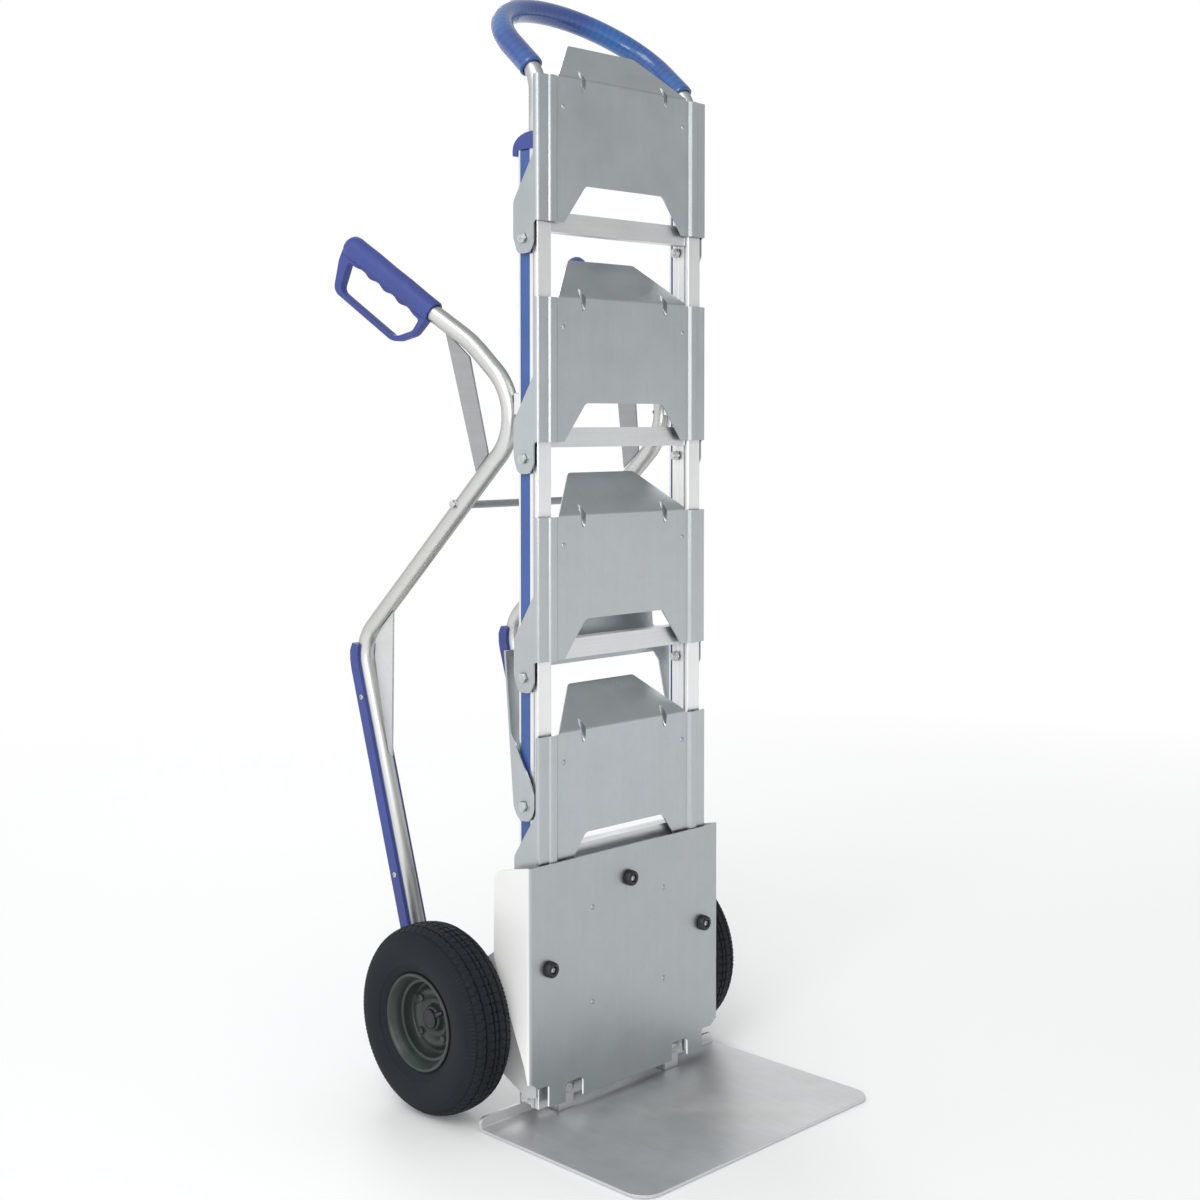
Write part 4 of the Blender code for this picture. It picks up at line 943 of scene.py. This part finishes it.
def rim_mesh():
    """Pressed steel wheel, outer face to +X: rolled edge, stepped well, dished disc, hub."""
    b = 10.4
    prof = [(-34, b), (-34, 17), (-10, 17), (-8, 19), (-8, 35), (-14, 43), (-17, 51), (-18, 55), (-26, 57.5), (-30.5, 60.5), (-32.6, 64.2),
            (-31.8, 66.6), (-30.0, 66.8), (-27.8, 63.6), (-24.5, 60.3), (-17, 57.4), (-10, 52.8), (10, 52.8), (17, 57.4), (24.5, 60.3),
            (27.8, 63.6), (30.0, 66.8), (31.8, 66.6), (32.8, 65.0), (32.2, 62.8), (30.2, 61.2), (27.5, 59.8), (25.0, 58.4), (22.5, 57.0),
            (18.2, 55.8), (15.6, 55.2), (14.9, 53.8), (14.4, 51.6), (10.0, 51.0), (2.0, 50.4), (-0.6, 48.4), (-1.0, 45.6), (0.4, 43.2), (3.0, 41.2),
            (4.6, 38.4), (4.8, 35.0), (3.6, 31.4), (1.2, 28.4), (-1.2, 26.0), (-2.0, 23.4), (-1.6, 19.6), (0.4, 17.8), (2.4, 17.2), (6.2, 16.6), (7.6, 15.4), (8.0, 14.0),
            (8.0, 11.2), (7.4, b)]
    return lathe(prof, segs=96)


TYRE_MESH = tyre_mesh()
RIM_MESH = rim_mesh()
for s, sd in SIDES:
    turn = Matrix.Rotation(math.radians(0 if s > 0 else 180), 4, "Z")
    me = TYRE_MESH.copy()
    me.transform(turn)
    ob = made("pneumatic_tyre_" + sd, me, TYRE, "wheel_" + sd, "tyre", ["tyre_" + sd], 28)
    ob.matrix_world = Matrix.Translation(v(s * WHEEL_X, AXLE_Y, AXLE_Z))
    parts = [RIM_MESH.copy()]
    # four wheel bolts; the valve hole's ring is made below, and the two-part rim's seam bolts are not drawn
    for k in range(4):
        a = math.radians(45 + 90 * k)
        m = to_axis(hex_head(9.0, 3.4, 6.0, 1.0), "X")
        parts.append(placed(m, 3.2, 33.0 * math.cos(a), 33.0 * math.sin(a)))
    me = join(parts)
    me.transform(turn)
    ob = made("wheel_rim_" + sd, me, RIM, "wheel_" + sd, "rim", ["rim_" + sd], 34)
    ob.matrix_world = Matrix.Translation(v(s * WHEEL_X, AXLE_Y, AXLE_Z))
    # the opening pressed in the rim for the valve
    mouth = lathe([(0.2, 0.01), (0.2, 5.4), (0.5, 6.6), (1.2, 7.4), (1.4, 6.6), (1.0, 5.6), (0.7, 0.01)], segs=32, closed=False)
    low = math.radians(152 if s < 0 else 28)
    mouth = placed(mouth, 3.6, 40.0 * math.cos(low), 40.0 * math.sin(low))
    mouth.transform(turn)
    ob = made("valve_opening_" + sd, mouth, RUBBER, "wheel_" + sd, "rubber", (), 40)
    ob.matrix_world = Matrix.Translation(v(s * WHEEL_X, AXLE_Y, AXLE_Z))
    # valve: a rubber stem with a knurled cap, leaning out of the rim's well
    stem = lathe([(0, 0.01), (0, 5.2), (2.0, 4.9), (4.0, 3.6), (16, 3.1), (17, 3.9), (18, 4.1), (26, 4.1), (27.4, 3.4), (27.6, 0.01)],
                 segs=24, closed=False)
    ang = math.radians(28 if s < 0 else 60)
    lean = Vector((0.80, -0.60 * math.cos(ang), -0.60 * math.sin(ang))).normalized()
    stem.transform(Matrix.Translation(v(0.0, 46.5 * math.cos(ang), 46.5 * math.sin(ang)))
                   @ lean.to_track_quat("X", "Z").to_matrix().to_4x4())
    stem.transform(turn)
    ob = made("tyre_valve_" + sd, stem, RUBBER, "wheel_" + sd, "rubber", (), 40)
    ob.matrix_world = Matrix.Translation(v(s * WHEEL_X, AXLE_Y, AXLE_Z))

# axle with its shoulders and end caps; no split pins are drawn
ends = []
for s, sd in SIDES:
    sh = lathe([(166.7, 9), (166.7, 13.4), (167.4, 14), (194.8, 14), (195.5, 13.4), (195.5, 9)], segs=48)
    cap = lathe([(238.7, 0.01), (238.7, 13.2), (239.2, 13.7), (241.6, 13.2), (242.8, 10.8), (243.1, 6.0), (242.6, 5.4), (242.6, 0.01)],
                segs=48, closed=False)
    ends.append(to_axis(sh, "X" if s > 0 else "-X"))
    made("axle_cap_" + sd, placed(to_axis(cap, "X" if s > 0 else "-X"), 0, AXLE_Y, AXLE_Z), RUBBER, "frame", "rubber", (), 30)
shaft = lathe([(-240, 0.01), (-240, 10.0), (240, 10.0), (240, 0.01)], segs=48, closed=False)
made("wheel_axle", placed(join([shaft] + ends), 0, AXLE_Y, AXLE_Z), ZINC, "frame", "zinc", ["axle"], 30)

# ------------------------------------------------------------------ rubber buffers
for tag in ("left", "right", "top"):
    lo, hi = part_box("rubber_buffer_" + tag)
    cx, cz = (lo.x + hi.x) * 500, (lo.z + hi.z) * 500
    face = -13.0
    prof = [(-4.0, 0.01), (-4.0, 3.0), (0.3, 3.0), (0.3, 9.6), (1.4, 11.0), (5.0, 11.0), (8.6, 10.4), (10.1, 8.8), (10.5, 6.4), (9.9, 5.2),
            (6.8, 4.9), (6.6, 0.01)]
    me = to_axis(lathe(prof, segs=56, closed=False), "-Y")
    made("buffer_pad_" + tag, placed(me, cx, face, cz), RUBBER, "frame", "rubber", ["rubber_buffer_" + tag], 40)
    made("buffer_screw_" + tag, placed(to_axis(SCREW.copy(), "-Y"), cx, face - 6.6, cz), ZINC, "frame", "zinc", (), 35)

# ------------------------------------------------------------------ lower front plate and toe plate


def front_plate_mesh():
    y, x = -11.5, 189.0
    r = 4.0
    top, low_side, low_mid = 356.0, 55.0, 24.0
    outline = rounded(
        [(-x + r, top), (-x + r, low_side + 8), (-x + 14, low_side), (-155, low_side), (-155, low_mid), (-124, low_mid), (-124, 50),
         (-90, 50), (-90, low_mid), (90, low_mid), (90, 50), (124, 50), (124, low_mid), (155, low_mid), (155, low_side),
         (x - 14, low_side), (x - r, low_side + 8), (x - r, top)],
        [0, 0, 0, 3, 3, 2, 6, 6, 2, 2, 6, 6, 2, 3, 3, 0, 0, 0], 5)
    faces = [[(a, y, b) for a, b in outline]]
    for s in (-1, 1):
        zb = low_side + 8
        prev = (x - r, y)
        for k in range(1, 6):
            t = math.pi / 2 * k / 5
            cur = (x - r + r * math.sin(t), y + r - r * math.cos(t))
            faces.append([(s * prev[0], prev[1], zb), (s * prev[0], prev[1], top), (s * cur[0], cur[1], top), (s * cur[0], cur[1], zb)])
            prev = cur
        wing = rounded([(y + r, zb), (y + r, top), (58.5, 341.5), (59.5, 222.0), (-2.0, 84.0)], [0, 0, 18.0, 18.0, 12.0], 6)
        faces.append([(s * x, a, b) for a, b in wing])
    me = sheet(faces, 3.0)
    for bx, bz in [(-155.0, 214.0), (155.0, 214.0), (0.0, 310.0)]:
        hole = to_axis(lathe([(-4, 0.01), (-4, 3.3), (4, 3.3), (4, 0.01)], segs=24, closed=False), "Y")
        me = boolean(me, placed(hole, bx, y, bz), "DIFFERENCE")
    me = softened(me, 0.0004, 2, 40)
    heads = [placed(to_axis(RIVET.copy(), "-Y"), bx, -13.0, bz) for bx in (-72.0, 72.0) for bz in (282.0, 150.0)]
    return join([me] + heads)


made("load_back_plate", front_plate_mesh(), PLATE, "frame", "sheet", ["front_plate"], 32)


def toe_mesh():
    t = 4.5
    z, r, yr, w = t / 2, 5.0, 40.0 - t / 2, 235.0 - 0.0
    outline = rounded([(-w, yr - r), (-w, -266.0), (w, -266.0), (w, yr - r)], [0, 30, 30, 0], 12)
    faces = [[(a, b, z) for a, b in outline]]
    prev = (yr - r, z)
    for k in range(1, 6):
        a = math.pi / 2 * k / 5
        cur = (yr - r + r * math.sin(a), z + r - r * math.cos(a))
        faces.append([(-w, prev[0], prev[1]), (w, prev[0], prev[1]), (w, cur[0], cur[1]), (-w, cur[0], cur[1])])
        prev = cur
    lip = rounded([(-w, prev[1]), (-w, 19.0), (w, 19.0), (w, prev[1])], [0, 8, 8, 0], 6)
    faces.append([(a, yr, b) for a, b in lip])
    return softened(sheet(faces, t), 0.0006, 3, 40)


made("toe_blade", toe_mesh(), SHEET_Y, "frame", "sheet", ["toe_plate"], 32)

for s, sd in SIDES:
    parts = [placed(to_axis(hex_head(12.8, 4.6, 8.0, 1.2, 3.2), "-Y"), s * 107, 3.3, 36),
             placed(to_axis(hex_head(12.8, 5.6), "Y"), s * 107, 11.2, 36)]
    made("toe_bolt_head_" + sd, join(parts), ZINC, "frame", "zinc", ["toe_bolt_" + sd], 30)

# ------------------------------------------------------------------ finish the carried-over frame pieces


def dress(node, material, width=0.0005, segments=2, angle=32.0):
    ob = NODES[node]
    ob.data.materials.clear()
    ob.data.materials.append(material)
    ob.data.shade_smooth()
    ob.data.set_sharp_from_angle(angle=math.radians(30))
    if width:
        mod = ob.modifiers.new("edge", "BEVEL")
        mod.width = width
        mod.segments = segments
        mod.limit_method = "ANGLE"
        mod.angle_limit = math.radians(angle)
        mod.use_clamp_overlap = True
        even_normals(ob)


for s, sd in SIDES:
    dress("upright_" + sd, EXTRUDED, 0.00035, 1, 40)
    dress("blue_strip_" + sd, STRIP, 0.0005)
    dress("end_cap_" + sd, BLUE, 0.0014, 3, 30)
    dress("stair_skid_" + sd, BLUE, 0.0012, 2, 45)
    dress("axle_plate_" + sd, SIDE_PLATE, 0.0005)
    dress("lower_gusset_" + sd, RAIL, 0.0005)
    dress("upper_brace_" + sd, SHADED_BAR, 0.0005)
    dress("strut_bracket_" + sd, EXTRUDED, 0.0006)
    dress("toe_bracket_" + sd, RAIL, 0.0006)
for n in ("rung_1", "rung_2", "rung_3", "rung_4", "plate_rail_1", "plate_rail_2", "bottom_rung"):
    dress(n, RAIL, 0.0004)
dress("rear_crossbar", SHADED_BAR, 0.0004)
dress("rear_stand", SHEET_Z, 0.0005)

# thin blue gasket lines on the inner faces of the uprights and small screws
for s, sd in SIDES:
    x0, x1 = s * (UP_IN + 1.55), s * (UP_IN - 0.15)
    me = prism([(min(x0, x1), 31.8), (max(x0, x1), 31.8), (max(x0, x1), 33.2), (min(x0, x1), 33.2)], "XY", 22, 1316, edge=0.2, res=1)
    made("inner_gasket_" + sd, me, BLUE, "frame", "blue", (), 40)
    heads = []
    for y, z in ((382.0, 540.0), (304.0, 286.0)):
        heads.append(placed(to_axis(SCREW.copy(), "X" if s > 0 else "-X"), s * 167.5, y, z))
    made("skid_screws_" + sd, join(heads), ZINC, "frame", "zinc", (), 35)
    # two screws hold the strut's bend to its spacer
    heads = [placed(to_axis(SCREW.copy(), "Y"), s * 150.0, 78.6, z) for z in (967.0, 987.0)]
    made("bend_screws_" + sd, join(heads), ZINC, "frame", "zinc", (), 35)
    parts = [placed(to_axis(hex_head(10.0, 3.6, 7.0, 1.0), "X" if s > 0 else "-X"), s * 162.4, 174, 836)]
    made("crossbar_bolt_" + sd, join(parts), ZINC, "frame", "zinc", (), 30)

# ------------------------------------------------------------------ floor, light, camera
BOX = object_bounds()


def floor_material():
    """Pale studio floor that runs out to white."""
    k = Mat("studio_floor")
    geo = k.n("ShaderNodeNewGeometry")
    length = k.n("ShaderNodeVectorMath", operation="LENGTH")
    k.put(length.inputs[0], geo.outputs["Position"])
    far = k.ramp(length.outputs["Value"], 1.0, 3.4)
    k.finish((0.94, 0.94, 0.94), 0.7, Emission_Color=(1.0, 1.0, 1.0, 1.0), Emission_Strength=0.07)
    glow = k.n("ShaderNodeEmission")
    glow.inputs["Color"].default_value = (1, 1, 1, 1)
    glow.inputs["Strength"].default_value = 1.0
    mixer = k.n("ShaderNodeMixShader")
    k.put(mixer.inputs[0], far)
    k.t.links.new(k.b.outputs[0], mixer.inputs[1])
    k.t.links.new(glow.outputs[0], mixer.inputs[2])
    k.t.links.new(mixer.outputs[0], k.t.nodes["Material Output"].inputs["Surface"])
    return k.m


bm = bmesh.new()
bmesh.ops.create_circle(bm, cap_ends=True, segments=96, radius=60.0)
me = from_bm("floor", bm, recalc=False)
floor = bpy.data.objects.new("floor", me)
SCENE.objects.link(floor)
floor.location = (0, 0, -0.0005)
me.materials.append(floor_material())

world = bpy.data.worlds.new("studio")
bpy.context.scene.world = world
world.use_nodes = True
wt = world.node_tree
for n in list(wt.nodes):
    wt.nodes.remove(n)


def wnode(kind, **props):
    n = wt.nodes.new(kind)
    for k, val in props.items():
        setattr(n, k, val)
    return n


tc = wnode("ShaderNodeTexCoord")
dot = wnode("ShaderNodeVectorMath", operation="DOT_PRODUCT")
wt.links.new(tc.outputs["Generated"], dot.inputs[0])
dot.inputs[1].default_value = (-0.62, 0.76, -0.18)
level = wnode("ShaderNodeMapRange", interpolation_type="SMOOTHSTEP")
wt.links.new(dot.outputs["Value"], level.inputs["Value"])
level.inputs["From Min"].default_value = -1.0
level.inputs["From Max"].default_value = 0.9
level.inputs["To Min"].default_value = 0.58
level.inputs["To Max"].default_value = 1.25
# the room is brightest round the floor and falls off towards the ceiling
height = wnode("ShaderNodeSeparateXYZ")
wt.links.new(tc.outputs["Generated"], height.inputs[0])
ceiling = wnode("ShaderNodeMapRange", interpolation_type="SMOOTHSTEP")
wt.links.new(height.outputs["Z"], ceiling.inputs["Value"])
ceiling.inputs["From Min"].default_value = -0.1
ceiling.inputs["From Max"].default_value = 0.75
ceiling.inputs["To Min"].default_value = 1.12
ceiling.inputs["To Max"].default_value = 0.78
first_pair = wnode("ShaderNodeMath", operation="MULTIPLY")
wt.links.new(level.outputs[0], first_pair.inputs[0])
wt.links.new(ceiling.outputs[0], first_pair.inputs[1])
# on the left side the light comes from low down and fades faster with height
flank = wnode("ShaderNodeMapRange", interpolation_type="SMOOTHSTEP")
wt.links.new(dot.outputs["Value"], flank.inputs["Value"])
flank.inputs["From Min"].default_value = 0.55
flank.inputs["From Max"].default_value = 0.95
fall = wnode("ShaderNodeMapRange", interpolation_type="SMOOTHSTEP")
wt.links.new(height.outputs["Z"], fall.inputs["Value"])
fall.inputs["From Min"].default_value = -0.30
fall.inputs["From Max"].default_value = 0.30
fall.inputs["To Min"].default_value = 0.6
fall.inputs["To Max"].default_value = -0.55
extra = wnode("ShaderNodeMath", operation="MULTIPLY_ADD")
wt.links.new(flank.outputs[0], extra.inputs[0])
wt.links.new(fall.outputs[0], extra.inputs[1])
extra.inputs[2].default_value = 1.0
# a dark flag on the right
aside = wnode("ShaderNodeVectorMath", operation="DOT_PRODUCT")
wt.links.new(tc.outputs["Generated"], aside.inputs[0])
aside.inputs[1].default_value = (0.96, 0.27, 0.0)
flag = wnode("ShaderNodeMapRange", interpolation_type="SMOOTHSTEP")
wt.links.new(aside.outputs["Value"], flag.inputs["Value"])
flag.inputs["From Min"].default_value = 0.88
flag.inputs["From Max"].default_value = 0.995
flag.inputs["To Min"].default_value = 1.0
flag.inputs["To Max"].default_value = 0.35
flagged = wnode("ShaderNodeMath", operation="MULTIPLY")
wt.links.new(first_pair.outputs[0], flagged.inputs[0])
wt.links.new(flag.outputs[0], flagged.inputs[1])
both = wnode("ShaderNodeMath", operation="MULTIPLY")
wt.links.new(flagged.outputs[0], both.inputs[0])
wt.links.new(extra.outputs[0], both.inputs[1])
light_bg = wnode("ShaderNodeBackground")
light_bg.inputs["Color"].default_value = (0.985, 1.0, 1.0, 1)
wt.links.new(both.outputs[0], light_bg.inputs["Strength"])
white_bg = wnode("ShaderNodeBackground")
white_bg.inputs["Color"].default_value = (1, 1, 1, 1)
white_bg.inputs["Strength"].default_value = 1.0
path = wnode("ShaderNodeLightPath")
mixer = wnode("ShaderNodeMixShader")
wt.links.new(path.outputs["Is Camera Ray"], mixer.inputs[0])
wt.links.new(light_bg.outputs[0], mixer.inputs[1])
wt.links.new(white_bg.outputs[0], mixer.inputs[2])
wout = wnode("ShaderNodeOutputWorld")
wt.links.new(mixer.outputs[0], wout.inputs["Surface"])


def softbox(name, at, to, size, power, tall=None):
    li = bpy.data.lights.new(name, "AREA")
    li.shape = "RECTANGLE"
    li.size = size
    li.size_y = tall or size
    li.energy = power
    ob = bpy.data.objects.new(name, li)
    SCENE.objects.link(ob)
    ob.location = at
    ob.rotation_mode = "QUATERNION"
    ob.rotation_quaternion = (Vector(to) - Vector(at)).to_track_quat("-Z", "Y")
    return ob


softbox("key_light", (-2.6, -1.2, 3.2), (0, 0.1, 0.8), 1.5, 38.0, 2.0)
softbox("front_light", (-2.3, -2.1, 1.2), (0, 0, 0.7), 0.5, 14.0, 1.2)
softbox("rim_light", (1.4, 2.8, 2.6), (0, 0.1, 0.9), 1.2, 22.0, 2.0)

cam_data = bpy.data.cameras.new("camera")
cam = bpy.data.objects.new("camera", cam_data)
SCENE.objects.link(cam)
EYE = Vector((-1.7527, -1.7043, 0.9553))
turn, tip = math.radians(-45.06), math.radians(1.87)
forward = Vector((-math.sin(turn) * math.cos(tip), math.cos(turn) * math.cos(tip), -math.sin(tip)))
cam.location = EYE
cam.rotation_mode = "QUATERNION"
cam.rotation_quaternion = forward.to_track_quat("-Z", "Y")
cam_data.sensor_width = 36.0
cam_data.lens = 36.0 * 1739.1 / 1200.0
cam_data.clip_start, cam_data.clip_end = 0.05, 200.0
# the lens is shifted only at the photograph's own viewpoint
drv = cam_data.driver_add("shift_y").driver
drv.type = "SCRIPTED"
for name, channel in (("px", "LOC_X"), ("py", "LOC_Y")):
    var = drv.variables.new()
    var.name = name
    var.type = "TRANSFORMS"
    var.targets[0].id = cam
    var.targets[0].transform_type = channel
    var.targets[0].transform_space = "WORLD_SPACE"
drv.expression = "-0.1028 * max(0.0, 1.0 - 200.0 * (abs(px + 1.7527) + abs(py + 1.7043)))"
bpy.context.scene.camera = cam
bpy.context.scene.view_settings.view_transform = "Standard"
